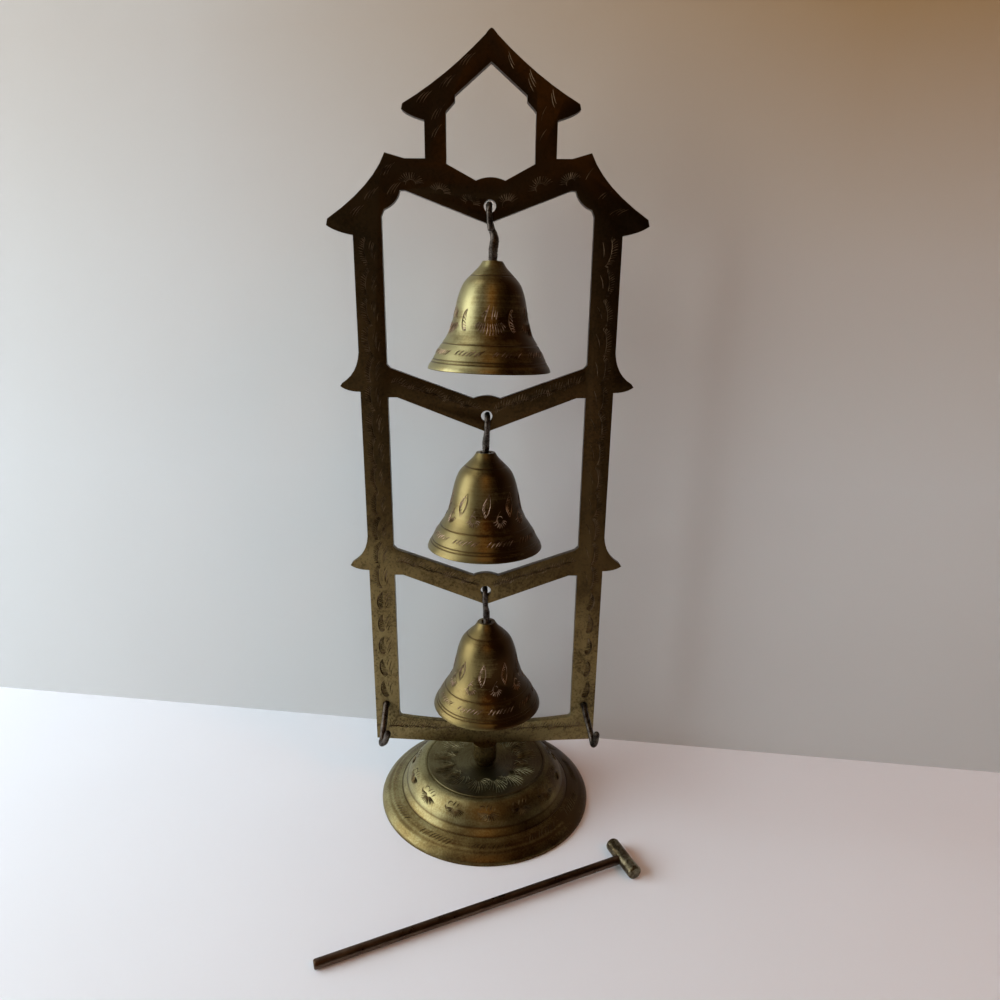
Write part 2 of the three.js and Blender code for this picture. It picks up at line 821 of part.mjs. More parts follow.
const stand = new THREE.Group();
stand.position.set(setAside, setBack, 0);
stand.add(piece('base', makeFoot(), 'agedBrass'));
stand.add(piece('frame', makeFrame(), 'darkBrass'));
stand.add(piece('foot_stud', makeFootStud(), 'steel'));
const studHole = footStud.radius + seatGap;
const footRing = ringWasher(footWasher.radius, studHole, footWasherBottom(), footWasher.thickness);
stand.add(piece('foot_washer', footRing, 'steel'));
stand.add(piece('foot_nut', hexagonNut(footNut, studHole, footNutBottom()), 'steel'));
restSides.forEach((place) => {
  stand.add(piece(`mallet_hook_${place.name}`, makeMalletRest(place), 'blackIron'));
});
const shankHole = hanger.shankRadius + seatGap;
tiers.forEach((tier) => {
  stand.add(piece(`hanger_${tier.name}`, makeHanger(tier), 'blackIron'));
  const atCrown = new THREE.Group();
  crownPlace(tier).decompose(atCrown.position, atCrown.quaternion, atCrown.scale);
  atCrown.add(piece(`bell_${tier.name}`, makeBell(), 'bellBrass'));
  atCrown.add(piece(`washer_${tier.name}`, makeCrownWasher(), 'agedBrass'));
  atCrown.add(piece(`nut_${tier.name}`, hexagonNut(crownNut, shankHole, crownNutBottom), 'blackIron'));
  stand.add(atCrown);
});
bellTree.add(stand);

const malletGroup = new THREE.Group();
malletGroup.rotation.order = 'ZYX';
malletGroup.rotation.z = heading;
malletGroup.rotation.y = -Math.asin((mallet.headRadius - mallet.rodRadius) / mallet.length);
malletGroup.position.set(mallet.farX + setAside, mallet.farY + setBack, mallet.rodRadius);
malletGroup.add(piece('mallet_rod', makeMalletRod(), 'steel'));
malletGroup.add(piece('mallet_head', makeMalletHead(), 'steel'));
bellTree.add(malletGroup);

export default bellTree;
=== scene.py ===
# %% [markdown]
# # A bell tree in Blender
#
# Three turned brass bells hang in a flat pagoda-shaped frame on a round foot, and a little mallet
# lies in front. A CAD model fixes every place and size. This lesson gives the solids their finish:
# lathe lines, chased leaves, cast and forged skins, and the brown patina of old brass.

# %% The fixed frame from the CAD model
import random
from math import asin, atan, copysign, cos, degrees, hypot, pi, radians, sin, sqrt

import bmesh
import bpy
from mathutils import Matrix, Vector, noise
from mathutils.bvhtree import BVHTree


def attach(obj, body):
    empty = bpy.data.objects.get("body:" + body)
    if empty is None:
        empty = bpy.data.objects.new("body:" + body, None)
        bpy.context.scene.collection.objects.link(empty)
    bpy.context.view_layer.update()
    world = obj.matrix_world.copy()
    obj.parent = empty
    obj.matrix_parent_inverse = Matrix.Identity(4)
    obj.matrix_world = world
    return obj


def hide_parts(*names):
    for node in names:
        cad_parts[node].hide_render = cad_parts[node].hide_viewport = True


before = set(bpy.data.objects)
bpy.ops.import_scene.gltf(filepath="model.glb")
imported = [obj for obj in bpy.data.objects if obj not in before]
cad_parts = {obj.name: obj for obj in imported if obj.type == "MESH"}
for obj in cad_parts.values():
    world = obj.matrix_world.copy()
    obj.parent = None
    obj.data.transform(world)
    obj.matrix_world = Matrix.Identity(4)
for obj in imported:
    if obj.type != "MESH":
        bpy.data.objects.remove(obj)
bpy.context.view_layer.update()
print("CAD pieces:", len(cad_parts))

# %% [markdown]
# ## The camera
# It stands a little above the middle of the frame and looks slightly down. Its place was solved
# from the plate's outlines, so that straight edges fall where they should. A small lens shift
# keeps the framing without turning the camera.

# %% Camera
MM = 0.001
CAMERA_PLACE = Vector((-2.537, -259.62, 226.48)) * MM
CAMERA_PITCH = radians(17.21)
CAMERA_ROLL = 0.005
FOCAL_SHARE = 0.67056  # of the picture's width
SENSOR_WIDTH = 36
LENS_SHIFT = (0.0152, 0.0268)


def put_in_scene(name, data):
    made = bpy.data.objects.new(name, data)
    bpy.context.scene.collection.objects.link(made)
    return made


camera_data = bpy.data.cameras.new("camera")
camera_data.sensor_width = SENSOR_WIDTH
camera_data.lens = SENSOR_WIDTH * FOCAL_SHARE
camera_data.shift_x, camera_data.shift_y = LENS_SHIFT
camera_data.clip_start = 10 * MM
camera = put_in_scene("camera", camera_data)
pitched = Matrix.Rotation(pi / 2 - CAMERA_PITCH, 4, "X")
camera.matrix_world = (
    Matrix.Translation(CAMERA_PLACE) @ (pitched @ Matrix.Rotation(CAMERA_ROLL, 4, "Z")))
bpy.context.scene.camera = camera
print("lens", round(camera_data.lens, 2), "mm")

# %% [markdown]
# ## Shader maths in Python
# Every finish below is a small sum of masks: streaks, stains, specks. Node by node these are hard
# to read, so one class wraps a socket and lets Python's own signs add the Math nodes.

# %% Signals and recipes
def sign(operation, turned_round=False):
    """A sign of Python's, such as +, as a Math node."""
    def method(self, other):
        values = (other, self) if turned_round else (self, other)
        return self.recipe.maths(operation, *values)

    return method


class Signal:
    """An output of a shader node that can be used in a Python expression."""

    def __init__(self, recipe, socket):
        self.recipe, self.socket = recipe, socket

    __add__ = __radd__ = sign("ADD")
    __mul__ = __rmul__ = sign("MULTIPLY")
    __sub__, __rsub__ = sign("SUBTRACT"), sign("SUBTRACT", turned_round=True)
    __truediv__, __pow__ = sign("DIVIDE"), sign("POWER")


class Recipe:
    """A material, or the world, while it is put together."""

    def __init__(self, owner):
        self.owner = bpy.data.materials.new(owner) if isinstance(owner, str) else owner
        self.owner.use_nodes = True
        self.tree = self.owner.node_tree
        self.tree.nodes.clear()

    def node(self, kind, settings=None, sockets=None, output=0):
        """Adds a shader node of a kind, such as Bump, and gives one of its outputs."""
        made = self.tree.nodes.new("ShaderNode" + kind)
        for key, value in (settings or {}).items():
            if key == "stops":
                lay_stops(made.color_ramp, value)
            else:
                setattr(made, key, value)
        for key, value in (sockets or {}).items():
            if isinstance(value, Signal):
                self.tree.links.new(value.socket, made.inputs[key])
            else:
                made.inputs[key].default_value = value
        return Signal(self, made.outputs[output]) if len(made.outputs) else None

    def maths(self, operation, *values):
        return self.node("Math", {"operation": operation}, dict(enumerate(values)))

    def close(self, surface):
        self.node("OutputMaterial", None, {"Surface": surface})


def lay_stops(ramp, stops):
    """Sets a ramp's stops from (place, colour) pairs; a single number is a grey."""
    while len(ramp.elements) < len(stops):
        ramp.elements.new(1)
    for element, (place, colour) in zip(ramp.elements, stops):
        element.position = place
        element.color = (*(colour if isinstance(colour, tuple) else (colour,) * 3), 1)


def linear(*rgb):
    """A colour as it looks, from 0 to 255, as the linear values of a shader."""
    return tuple(((c / 255 + 0.055) / 1.055) ** 2.4 if c > 10 else c / 255 / 12.92 for c in rgb)


print("a mid grey:", linear(128, 128, 128)[0])

# %% [markdown]
# Most masks start from a place on the piece. Object coordinates stay with a piece when it swings,
# so the stains don't slide over it. They are turned from metres into millimetres first.

# %% Places, noise and mixes
def place_in_mm(recipe):
    where = recipe.node("TexCoord", output="Object")
    return recipe.node("VectorMath", {"operation": "SCALE"}, {0: where, "Scale": 1 / MM})


def split(recipe, vector):
    parts = recipe.node("SeparateXYZ", None, {0: vector})
    return [Signal(recipe, output) for output in parts.socket.node.outputs]


def mottle(recipe, place, size_mm, detail=3, roughness=0.55, distortion=0):
    """Cloudy noise from 0 to 1 with spots of about a size in millimetres."""
    return recipe.node("TexNoise", None, {
        "Vector": place, "Scale": 1 / size_mm, "Detail": detail, "Roughness": roughness,
        "Distortion": distortion,
    })


def lines_along(recipe, travel, pitch_mm, detail=2):
    """Fine lines, one after the other along a travel in millimetres."""
    return recipe.node("TexNoise", {"noise_dimensions": "1D"}, {
        "W": travel, "Scale": 1 / pitch_mm, "Detail": detail, "Roughness": 0.7,
    })


def ramp(recipe, signal, stops):
    return recipe.node("ValToRGB", {"stops": stops}, {"Fac": signal})


def blend(recipe, share, first, second):
    sides = {
        key: (*value, 1) if isinstance(value, tuple) else value
        for key, value in ((6, first), (7, second))
    }
    return recipe.node("Mix", {"data_type": "RGBA"}, {0: share, **sides}, output=2)


def metal(recipe, colour, roughness, height=None, height_mm=0.05):
    """Closes a recipe with one metal shader; height is a bump from 0 to 1."""
    sockets = {"Base Color": colour, "Roughness": roughness, "Metallic": 1}
    if height is not None:
        sockets["Normal"] = recipe.node("Bump", None, {
            "Height": height, "Strength": 1, "Distance": height_mm * MM,
        })
    shader = recipe.node("BsdfPrincipled", None, sockets)
    recipe.close(shader)
    return recipe.owner


print("shader helpers ready")

# %% [markdown]
# ## Brass
# Old brass is bright only where hands rub it. Elsewhere it is olive to dark brown, in clouds and
# specks. Turned pieces also carry the lathe's fine rings, and dirt stays in their grooves. The
# higher a bell hangs, the brighter its brass is painted, as painted light, and the lower bells are
# painted darker, as painted shade.

# %% Turned brass for the bells and the foot
BRIGHT_BRASS = linear(158, 152, 110)
OLIVE_BRASS = linear(118, 104, 66)
BROWN_PATINA = linear(70, 50, 26)
GREEN_STAIN = linear(52, 56, 40)


def lathe_masks(recipe, ring_slope):
    """Place, distance from the axis, share to the right for painted shade, and four kinds of
    noise.
    """
    place = place_in_mm(recipe)
    x, y, z = split(recipe, place)
    radius = (x * x + y * y) ** 0.5
    travel = z + radius * ring_slope
    return (
        (x, y, z), radius, x / (radius + 1), lines_along(recipe, travel, 0.3),
        lines_along(recipe, travel, 1.4, detail=1), mottle(recipe, place, 11, detail=4),
        mottle(recipe, place, 0.8, detail=3))


def brass_ramp(recipe, shade, brightest=BRIGHT_BRASS):
    return ramp(recipe, shade, [(0.3, BROWN_PATINA), (0.46, OLIVE_BRASS), (0.62, brightest)])


def turned_brass(name, ring_slope=0, groove_heights=(), tarnish_and_painted_shade=0, painted_highlight=1):
    recipe = Recipe(name)
    # Lower bells get a dimmer brightest stop and a darker shade: painted light and shade by
    # height. On the washer and the bell's inside the darkening is plain tarnish.
    brightest = tuple(o + (b - o) * painted_highlight for o, b in zip(OLIVE_BRASS, BRIGHT_BRASS))
    (x, y, z), radius, painted_shade_right, rings, wide_rings, clouds, specks = lathe_masks(recipe, ring_slope)
    # The right side of each bell is painted darker, as painted shade away from the window.
    shade = clouds * 0.6 + wide_rings * 0.2 + specks * 0.2 - painted_shade_right * 0.24 - 0.06 - tarnish_and_painted_shade
    colour = brass_ramp(recipe, shade, brightest)
    stains = ramp(recipe, specks, [(0.62, 0), (0.78, 0.4)])
    colour = blend(recipe, stains, colour, BROWN_PATINA)
    for height in groove_heights:
        dirt = 1 - recipe.maths("ABSOLUTE", z - height) / 0.45
        colour = blend(recipe, recipe.maths("MAXIMUM", dirt, 0) * 0.8, colour, BROWN_PATINA)
    roughness = 0.26 + rings * 0.1 + clouds * 0.12 + specks * 0.06
    return metal(recipe, colour, roughness, rings * 0.75 + specks * 0.25, 0.007)


# Height above the rim, width and depth of the bell's turned lines
BELL_HEIGHT = 42
BELL_GROOVES = [(3, 0.5, 0.18), (4.1, 0.5, 0.18), (10.4, 0.7, 0.24), (36.4, 0.5, 0.16)]
# Per bell, how much darker and how bright it is painted: painted light high up, painted shade low
# down
BELL_PAINTED_LIGHT = {"top": (-0.02, 1), "middle": (0.03, 0.2), "bottom": (0.07, 0)}
bell_brass = {
    name: turned_brass(
        f"bell_{name}_brass", tarnish_and_painted_shade=tarnish_and_painted_shade, painted_highlight=painted_highlight,
        groove_heights=[middle - BELL_HEIGHT for middle, width, depth in BELL_GROOVES])
    for name, (tarnish_and_painted_shade, painted_highlight) in BELL_PAINTED_LIGHT.items()
}
washer_brass = turned_brass("washer_brass", ring_slope=1, tarnish_and_painted_shade=0.06)
print("turned:", *bell_brass)

# %% [markdown]
# The foot is the same brass. Its disc has gone dark and greenish round the boss, where polish and
# damp collect, so its recipe adds a stain there.

# %% Foot brass
FINISH_REACH = 60  # from the axis to the end of the ramps below
STAIN_LEFT, STAIN_FRONT, STAIN_REACH = 2, 17, 30  # its middle from the axis, and its reach


def foot_finish(name):
    recipe = Recipe(name)
    (x, y, z), radius, painted_shade_right, rings, wide_rings, clouds, specks = lathe_masks(recipe, 1)
    on_flange = ramp(recipe, radius / FINISH_REACH, [(0.67, 0), (0.69, 0.09)])
    # The foot's right side is painted a little darker, as painted shade away from the window.
    shade = (
        clouds * 0.36 + wide_rings * 0.2 + specks * 0.24 - painted_shade_right * 0.12 - on_flange + 0.07)
    colour = brass_ramp(recipe, shade)
    on_disc = ramp(recipe, radius / FINISH_REACH, [(0.46, 1), (0.49, 0)])
    colour = blend(recipe, on_disc * 0.4, colour, BROWN_PATINA)
    aside, ahead = x + STAIN_LEFT, y + STAIN_FRONT
    to_stain = (aside * aside + ahead * ahead * 1.4) ** 0.5
    stain = ramp(
        recipe, to_stain / STAIN_REACH + clouds * 0.5 - 0.25, [(0.3, 0.65), (0.62, 0)])
    colour = blend(recipe, stain * on_disc, colour, GREEN_STAIN)
    dirt = ramp(recipe, radius / FINISH_REACH, [
        (0.632, 0), (0.641, 0.8), (0.65, 0), (0.672, 0), (0.681, 0.8), (0.69, 0)])
    colour = blend(recipe, dirt, colour, BROWN_PATINA)
    roughness = 0.27 + rings * 0.08 + clouds * 0.14 + specks * 0.06 + on_disc * 0.1
    return metal(recipe, colour, roughness, rings * 0.75 + specks * 0.25, 0.007)


foot_brass = foot_finish("foot_brass")
print("foot:", foot_brass.name)

# %% [markdown]
# The plate was filed, not turned. Its colour carries painted light and shade: olive low down,
# nearly black at the top, and a touch darker to the right. A fine mottling covers all of it.

# %% Filed brass for the plate
STAND_HEIGHT = 330


def plate_finish(name, grain_mm, grain_depth):
    recipe = Recipe(name)
    place = place_in_mm(recipe)
    x, y, z = split(recipe, place)
    clouds = mottle(recipe, place, 14, detail=5)
    specks = mottle(recipe, place, 1, detail=4)
    grain = mottle(recipe, place, grain_mm, detail=3)
    # Painted light and shade: lighter low down, darker high up and a little darker to the right.
    painted_shade_by_height = ramp(recipe, z / STAND_HEIGHT + x * 0.0011 + clouds * 0.16 - 0.04, [
        (0.2, linear(134, 118, 78)), (0.34, linear(112, 95, 60)), (0.43, linear(78, 62, 36)),
        (0.55, linear(66, 51, 29)), (0.64, linear(70, 52, 29)), (0.9, linear(52, 39, 24)),
    ])
    stains = ramp(recipe, specks * 0.6 + clouds * 0.4, [(0.46, 0), (0.64, 0.7)])
    colour = blend(recipe, stains, painted_shade_by_height, linear(40, 32, 18))
    roughness = 0.27 + specks * 0.2
    return metal(recipe, colour, roughness, grain, grain_depth)


frame_brass = plate_finish("frame_brass", 0.8, 0.03)
boss_brass = plate_finish("boss_brass", 0.9, 0.2)
print("plate:", frame_brass.name, boss_brass.name)

# %% [markdown]
# A graver leaves a V-shaped cut with one flank that catches the light and one that stays dark. The
# metal inside is redder and less tarnished than the skin round it.

# %% Metal inside the cuts
def cut_finish(name, dark, light, painted_light_by_height=0):
    recipe = Recipe(name)
    place = place_in_mm(recipe)
    x, y, z = split(recipe, place)
    grime = mottle(recipe, place, 3, detail=3)
    # The cuts can be painted paler higher up, as painted light on their flanks.
    shade = grime + (z / STAND_HEIGHT - 0.5) * painted_light_by_height
    return metal(recipe, ramp(recipe, shade, [(0.38, dark), (0.62, light)]), 0.34 + grime * 0.16)


cut_plate = cut_finish("cut_plate", linear(52, 40, 26), linear(122, 102, 80), 0.1)
cut_bell = cut_finish("cut_bell", linear(92, 72, 52), linear(182, 156, 134))
cut_foot = cut_finish("cut_foot", linear(50, 38, 24), linear(128, 110, 76))
cut_disc = cut_finish("cut_disc", linear(96, 90, 64), linear(172, 166, 130))
print("cuts:", cut_plate.name, cut_bell.name, cut_foot.name, cut_disc.name)

# %% [markdown]
# ## Iron and steel
# The hangers and the mallet's hooks are bent iron wire, blackened by age and rough.
# The mallet's rod is smoother, and its head is lighter and mottled.

# %% Iron and steel
def forged_finish(name, dark, light, grain_mm, grain_depth, smoothest):
    recipe = Recipe(name)
    place = place_in_mm(recipe)
    grain = mottle(recipe, place, grain_mm, detail=4, roughness=0.65)
    clouds = mottle(recipe, place, grain_mm * 6, detail=3)
    colour = ramp(recipe, grain * 0.5 + clouds * 0.5, [(0.42, dark), (0.6, light)])
    return metal(recipe, colour, smoothest + grain * 0.35, grain, grain_depth)


black_iron = forged_finish(
    "black_iron", linear(34, 28, 24), linear(104, 96, 88), 0.5, 0.08, 0.2)
zinc_steel = forged_finish(
    "zinc_steel", linear(120, 112, 100), linear(168, 160, 148), 0.8, 0.05, 0.25)
rod_steel = forged_finish(
    "rod_steel", linear(72, 56, 45), linear(98, 80, 66), 7, 0.006, 0.14)
head_steel = forged_finish(
    "head_steel", linear(74, 64, 46), linear(140, 132, 108), 1.1, 0.06, 0.16)
print("iron:", black_iron.name, rod_steel.name)

# %% [markdown]
# ## Making pieces
# Almost everything here was turned on a lathe or bent from a bar. One helper turns an outline
# about an axis, and another runs a round section along a path.

# %% New pieces
def reshape(mesh, weld_mm, change):
    """Welds a mesh, lets a function change it, and shades it softly."""
    shape = bmesh.new()
    shape.from_mesh(mesh)
    bmesh.ops.remove_doubles(shape, verts=shape.verts, dist=weld_mm * MM)
    change(shape)
    for face in shape.faces:
        face.smooth = True
    shape.to_mesh(mesh)
    shape.free()


def new_piece(name, points, faces, material, sharp=35):
    """A mesh piece from millimetre points, with soft shading up to a sharp angle."""
    mesh = bpy.data.meshes.new(name)
    mesh.from_pydata([Vector(p) * MM for p in points], [], faces)
    reshape(mesh, 0.001, lambda shape: bmesh.ops.recalc_face_normals(shape, faces=shape.faces))
    mesh.set_sharp_from_angle(angle=radians(sharp))
    mesh.materials.append(material)
    return put_in_scene(name, mesh)


def settle(piece, body, slot, *nodes):
    """Hangs a finished piece on its CAD body, in the place of its CAD nodes."""
    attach(piece, body)
    if nodes:
        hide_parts(*nodes)
    print("made", piece.name, len(piece.data.vertices), "points")


def tubes(rings, sides):
    """Faces between rings of points that follow each other."""
    starts = [
        (row * sides + side, row * sides + (side + 1) % sides)
        for row in range(rings - 1) for side in range(sides)]
    return [(a, b, b + sides, a + sides) for a, b in starts]


def turned(outline, sides):
    """Points and faces of an outline of (radius, height), turned about the Z axis."""
    points = []
    for radius, height in outline:
        for side in range(sides):
            angle = 2 * pi * side / sides
            points.append((radius * cos(angle), radius * sin(angle), height))
    return points, tubes(len(outline), sides)


print("turning ready")

# %% [markdown]
# A bent bar needs a smooth path and a section that doesn't twist. The path is the same kind of
# curve as the CAD's wires, so the two lie in the same place.

# %% Bending
def smooth_path(knots, steps):
    """A centripetal curve through knots, with steps between each two."""
    knots = [Vector(k) for k in knots]
    knots = [2 * knots[0] - knots[1]] + knots + [2 * knots[-1] - knots[-2]]
    path = []
    for before, start, end, after in zip(knots, knots[1:], knots[2:], knots[3:]):
        t1 = (start - before).length ** 0.5
        t2 = t1 + (end - start).length ** 0.5
        t3 = t2 + (after - end).length ** 0.5
        for step in range(steps):
            t = t1 + (t2 - t1) * step / steps
            a1 = before.lerp(start, t / t1)
            a2 = start.lerp(end, (t - t1) / (t2 - t1))
            a3 = end.lerp(after, (t - t2) / (t3 - t2))
            b1, b2 = a1.lerp(a2, t / t2), a2.lerp(a3, (t - t1) / (t3 - t1))
            path.append(b1.lerp(b2, (t - t1) / (t2 - t1)))
    return path + [knots[-2]]


def even_steps(path, gap):
    even, carried = [path[0]], 0
    for start, end in zip(path, path[1:]):
        while carried + (end - start).length >= gap:
            start = start.lerp(end, (gap - carried) / (end - start).length)
            even.append(start)
            carried = 0
        carried += (end - start).length
    return even + [path[-1]] if carried > gap / 4 else even


def bar_along(centres, radius_at, sides):
    """A round bar along centres. radius_at(step, angle) gives its radius there."""
    points = []
    side_way = (centres[1] - centres[0]).orthogonal()
    for step, centre in enumerate(centres):
        ahead = centres[min(step + 1, len(centres) - 1)] - centres[max(step - 1, 0)]
        ahead.normalize()
        side_way = (side_way - ahead * side_way.dot(ahead)).normalized()
        up_way = ahead.cross(side_way)
        for side in range(sides):
            angle = 2 * pi * side / sides
            way = side_way * cos(angle) + up_way * sin(angle)
            points.append(centre + way * radius_at(step, angle))
    faces = tubes(len(centres), sides)
    faces.append(tuple(range(sides - 1, -1, -1)))
    faces.append(tuple(range(len(points) - sides, len(points))))
    return points, faces


print("bending ready")

# %% [markdown]
# ## Cutting ornament
# The leaves and shells were cut by hand, stroke by stroke. A bump map would blur them, so each
# stroke is a real V here: a sliver of metal let into the surface, with the raised burr that a
# graver leaves on both sides. A motif is a list of strokes in millimetres round its own middle,
# and a spot says where it sits on the piece.

# %% Strokes and motifs
chance = random.Random(11)
CUT_WIDTH, CUT_BURR, CUT_FLOOR, CUT_ROOT, WANDER = 0.34, 0.15, 0.01, 0.12, 0.12


def stroke(a0, b0, a1, b1, bow=0):
    """A cut from one point to another whose middle bows out to its left."""
    start, end = Vector((a0, b0)), Vector((a1, b1))
    out = Vector((b0 - b1, a1 - a0)).normalized() * bow
    return [start.lerp(end, t / 4) + out * (1 - (t / 2 - 1) ** 2) for t in range(5)]


def arc(wide, high, start, end, steps=10):
    """A cut along part of an ellipse, between two angles in degrees."""
    turns = [radians(start + (end - start) * i / steps) for i in range(steps + 1)]
    return [Vector((wide * cos(t), high * sin(t))) for t in turns]


def fan(count, start, end, wide, high, root=0.5, bow=0.15):
    """Strokes that spread out to an ellipse, as the ribs of a shell do."""
    ribs = []
    for i in range(count):
        t = radians(start + (end - start) * i / (count - 1))
        a, b = wide * cos(t), high * sin(t)
        ribs.append(stroke(a * root, b * root, a, b, bow))
    return ribs


def comb(spine, count, length, lean, start=0, end=1):
    """Ribs that leave a curved spine at a lean, longest in the middle."""
    ribs = []
    for i in range(count):
        share = start + (end - start) * i / (count - 1)
        at = share * (len(spine) - 1.001)
        k = int(at)
        foot = spine[k].lerp(spine[k + 1], at - k)
        way = Matrix.Rotation(radians(lean), 2) @ (spine[k + 1] - spine[k]).normalized()
        tip = foot + way * length * (0.45 + 0.55 * sin(pi * share))
        ribs.append(stroke(foot.x, foot.y, tip.x, tip.y, 0.12))
    return ribs


def moved(strokes, a=0, b=0, turn=0, size=1, flip=1):
    """The same strokes moved, turned by degrees, scaled, or mirrored with flip -1."""
    way, shift = Matrix.Rotation(radians(turn), 2), Vector((a, b))
    return [[way @ Vector((p.x * flip, p.y)) * size + shift for p in cut] for cut in strokes]


def unsteady(strokes, wander=WANDER):
    """Strokes as a hand cuts them, none quite in its place."""
    shifted = []
    for cut in strokes:
        slip = Vector((chance.uniform(-wander, wander), chance.uniform(-wander, wander)))
        shifted.append([p + slip for p in cut])
    return shifted


print("strokes and motifs ready")

# %% Cutting strokes into a surface
def cut_in(name, cuts, surface, material, body, slot, width=CUT_WIDTH, place=Matrix()):
    """One piece of V-shaped cuts. surface(spot, a, b) gives a place and its normal."""
    points, faces = [], []
    for spot, strokes in cuts:
        for path in strokes:
            ring_starts = []
            for i, p in enumerate(path):
                ahead = (path[min(i + 1, len(path) - 1)] - path[max(i - 1, 0)]).normalized()
                aside = Vector((-ahead.y, ahead.x)) * width / 2
                swell = sin(pi * (i + 0.35) / (len(path) - 0.3)) ** 0.6
                left, out = surface(spot, *(p + aside * swell))
                right, _ = surface(spot, *(p - aside * swell))
                middle, _ = surface(spot, *p)
                ring_starts.append(len(points))
                points += [left + out * CUT_BURR * swell, middle + out * CUT_FLOOR,
                           right + out * CUT_BURR * swell, middle - out * CUT_ROOT]
            for a, b in zip(ring_starts, ring_starts[1:]):
                faces += [(a + k, a + (k + 1) % 4, b + (k + 1) % 4, b + k) for k in range(4)]
            faces.append(tuple(ring_starts[0] + k for k in (3, 2, 1, 0)))
            faces.append(tuple(ring_starts[-1] + k for k in range(4)))
    piece = new_piece(name, points, faces, material, sharp=5)
    piece.matrix_world = place
    settle(piece, body, slot)


def on_turned(outline, centre):
    """A surface for cut_in: a spot is (angle, distance along the outline)."""
    lengths = [0]
    for (r0, h0), (r1, h1) in zip(outline, outline[1:]):
        lengths.append(lengths[-1] + hypot(r1 - r0, h1 - h0))

    def surface(spot, a, b):
        angle, along = spot
        along = min(max(along + b, 0), lengths[-1] - 0.001)
        i = next(k for k in range(len(lengths) - 1) if lengths[k + 1] > along)
        (r0, h0), (r1, h1) = outline[i], outline[i + 1]
        share = (along - lengths[i]) / (lengths[i + 1] - lengths[i])
        radius, height = r0 + (r1 - r0) * share, h0 + (h1 - h0) * share
        turn = angle + a / radius
        out = Vector((h1 - h0, r0 - r1)).normalized()
        around = Vector((cos(turn), sin(turn), 0))
        place = centre + around * radius + Vector((0, 0, height))
        return place, around * out.x + Vector((0, 0, out.y))

    return surface


print("graver ready")

# %% [markdown]
# ## The foot
# The foot is turned: a rounded shoulder on a flat flange, with a shallow dish on top for the boss.
# The thin grooves are real steps, because their bright edges show from far away.

# %% Foot
STAND_AXIS = Vector((-1.967, 24.95, 0))
FOOT_RADIUS, FOOT_HEIGHT = 50.9, 18
DISC_RADIUS, DISH_RADIUS, DISH_HEIGHT = 29.1, 9, 16.2
SHOULDER_RADIUS, SHOULDER_FOOT = 38.5, 8.7
STEP_RADIUS, STEP_HEIGHT = 41, 6.5
STUD_HOLE, UNDER_DISC, HOLLOW_RADIUS = 2.8, 14, 36.6


def bezier(a, b, c, d, steps):
    a, b, c, d = (Vector(p) for p in (a, b, c, d))
    return [
        tuple(a * (1 - t) ** 3 + b * 3 * t * (1 - t) ** 2 + c * 3 * t * t * (1 - t) + d * t ** 3)
        for t in (i / steps for i in range(steps + 1))
    ]


shoulder = bezier(
    (SHOULDER_RADIUS, SHOULDER_FOOT + 0.4), (SHOULDER_RADIUS - 2.2, 13.6),
    (DISC_RADIUS + 4.4, FOOT_HEIGHT - 0.4), (DISC_RADIUS, FOOT_HEIGHT), 24)
disc = [(DISC_RADIUS - 0.4, FOOT_HEIGHT - 0.05), (DISC_RADIUS - 0.6, FOOT_HEIGHT - 0.4),
        (DISC_RADIUS - 0.9, FOOT_HEIGHT - 0.15), (DISH_RADIUS, DISH_HEIGHT + 0.15)]
flange = [(FOOT_RADIUS - 0.4, 1.7), (FOOT_RADIUS - 1.2, 2.6), (FOOT_RADIUS - 2.5, 3.62),
          (FOOT_RADIUS - 2.8, 3.85), (STEP_RADIUS, STEP_HEIGHT)]
foot_outline = [
    (STUD_HOLE, UNDER_DISC), (HOLLOW_RADIUS - 9.7, UNDER_DISC), (HOLLOW_RADIUS - 2.5, 9.8),
    (HOLLOW_RADIUS, 5.4), (FOOT_RADIUS - 4.4, 0), (FOOT_RADIUS - 0.2, 0), (FOOT_RADIUS, 0.2),
    (FOOT_RADIUS, 0.9), *flange, (STEP_RADIUS - 0.15, STEP_HEIGHT - 0.12),
    (SHOULDER_RADIUS + 0.4, SHOULDER_FOOT), *shoulder, *disc,
    (DISH_RADIUS - 0.3, DISH_HEIGHT), (STUD_HOLE, DISH_HEIGHT), (STUD_HOLE, UNDER_DISC),
]
foot = new_piece("foot", *turned(foot_outline, 192), foot_brass, sharp=28)
foot.location = STAND_AXIS * MM
settle(foot, "stand", "foot_brass", "base")

# %% [markdown]
# Shells run round the shoulder, a wreath of feathers lies on the disc, and slanted strokes in
# groups fill the flange.

# %% Ornament of the foot
def round_the_foot(name, motif, count, phase, along, outline, finish, wander, width):
    """A motif, given by a function, count times round the foot."""
    cuts = []
    for i in range(count):
        angle = 2 * pi * (i + phase) / count
        cuts.append(((angle, along), unsteady(motif(), wander)))
    cut_in(name, cuts, on_turned(outline, STAND_AXIS), finish, "stand", "foot_brass", width)


shell = fan(14, 188, 338, 5.4, 4.2, root=0.22) + [
    arc(5, 2.6, 165, 215), moved([arc(1.2, 1.3, 20, 200)], -2.6, 1.2)[0],
    stroke(-1.2, 0.6, 0.2, 3, 0.2), stroke(0.6, 0.4, 1.8, 2.6, 0.2),
    stroke(2.2, 0.2, 3.4, 1.8, 0.2)]
round_the_foot(
    "foot_shells",
    lambda: moved(shell, turn=chance.uniform(-9, 9), size=chance.uniform(0.94, 1.08)),
    14, 0.62, 6.9, shoulder, cut_foot, WANDER, 0.42)

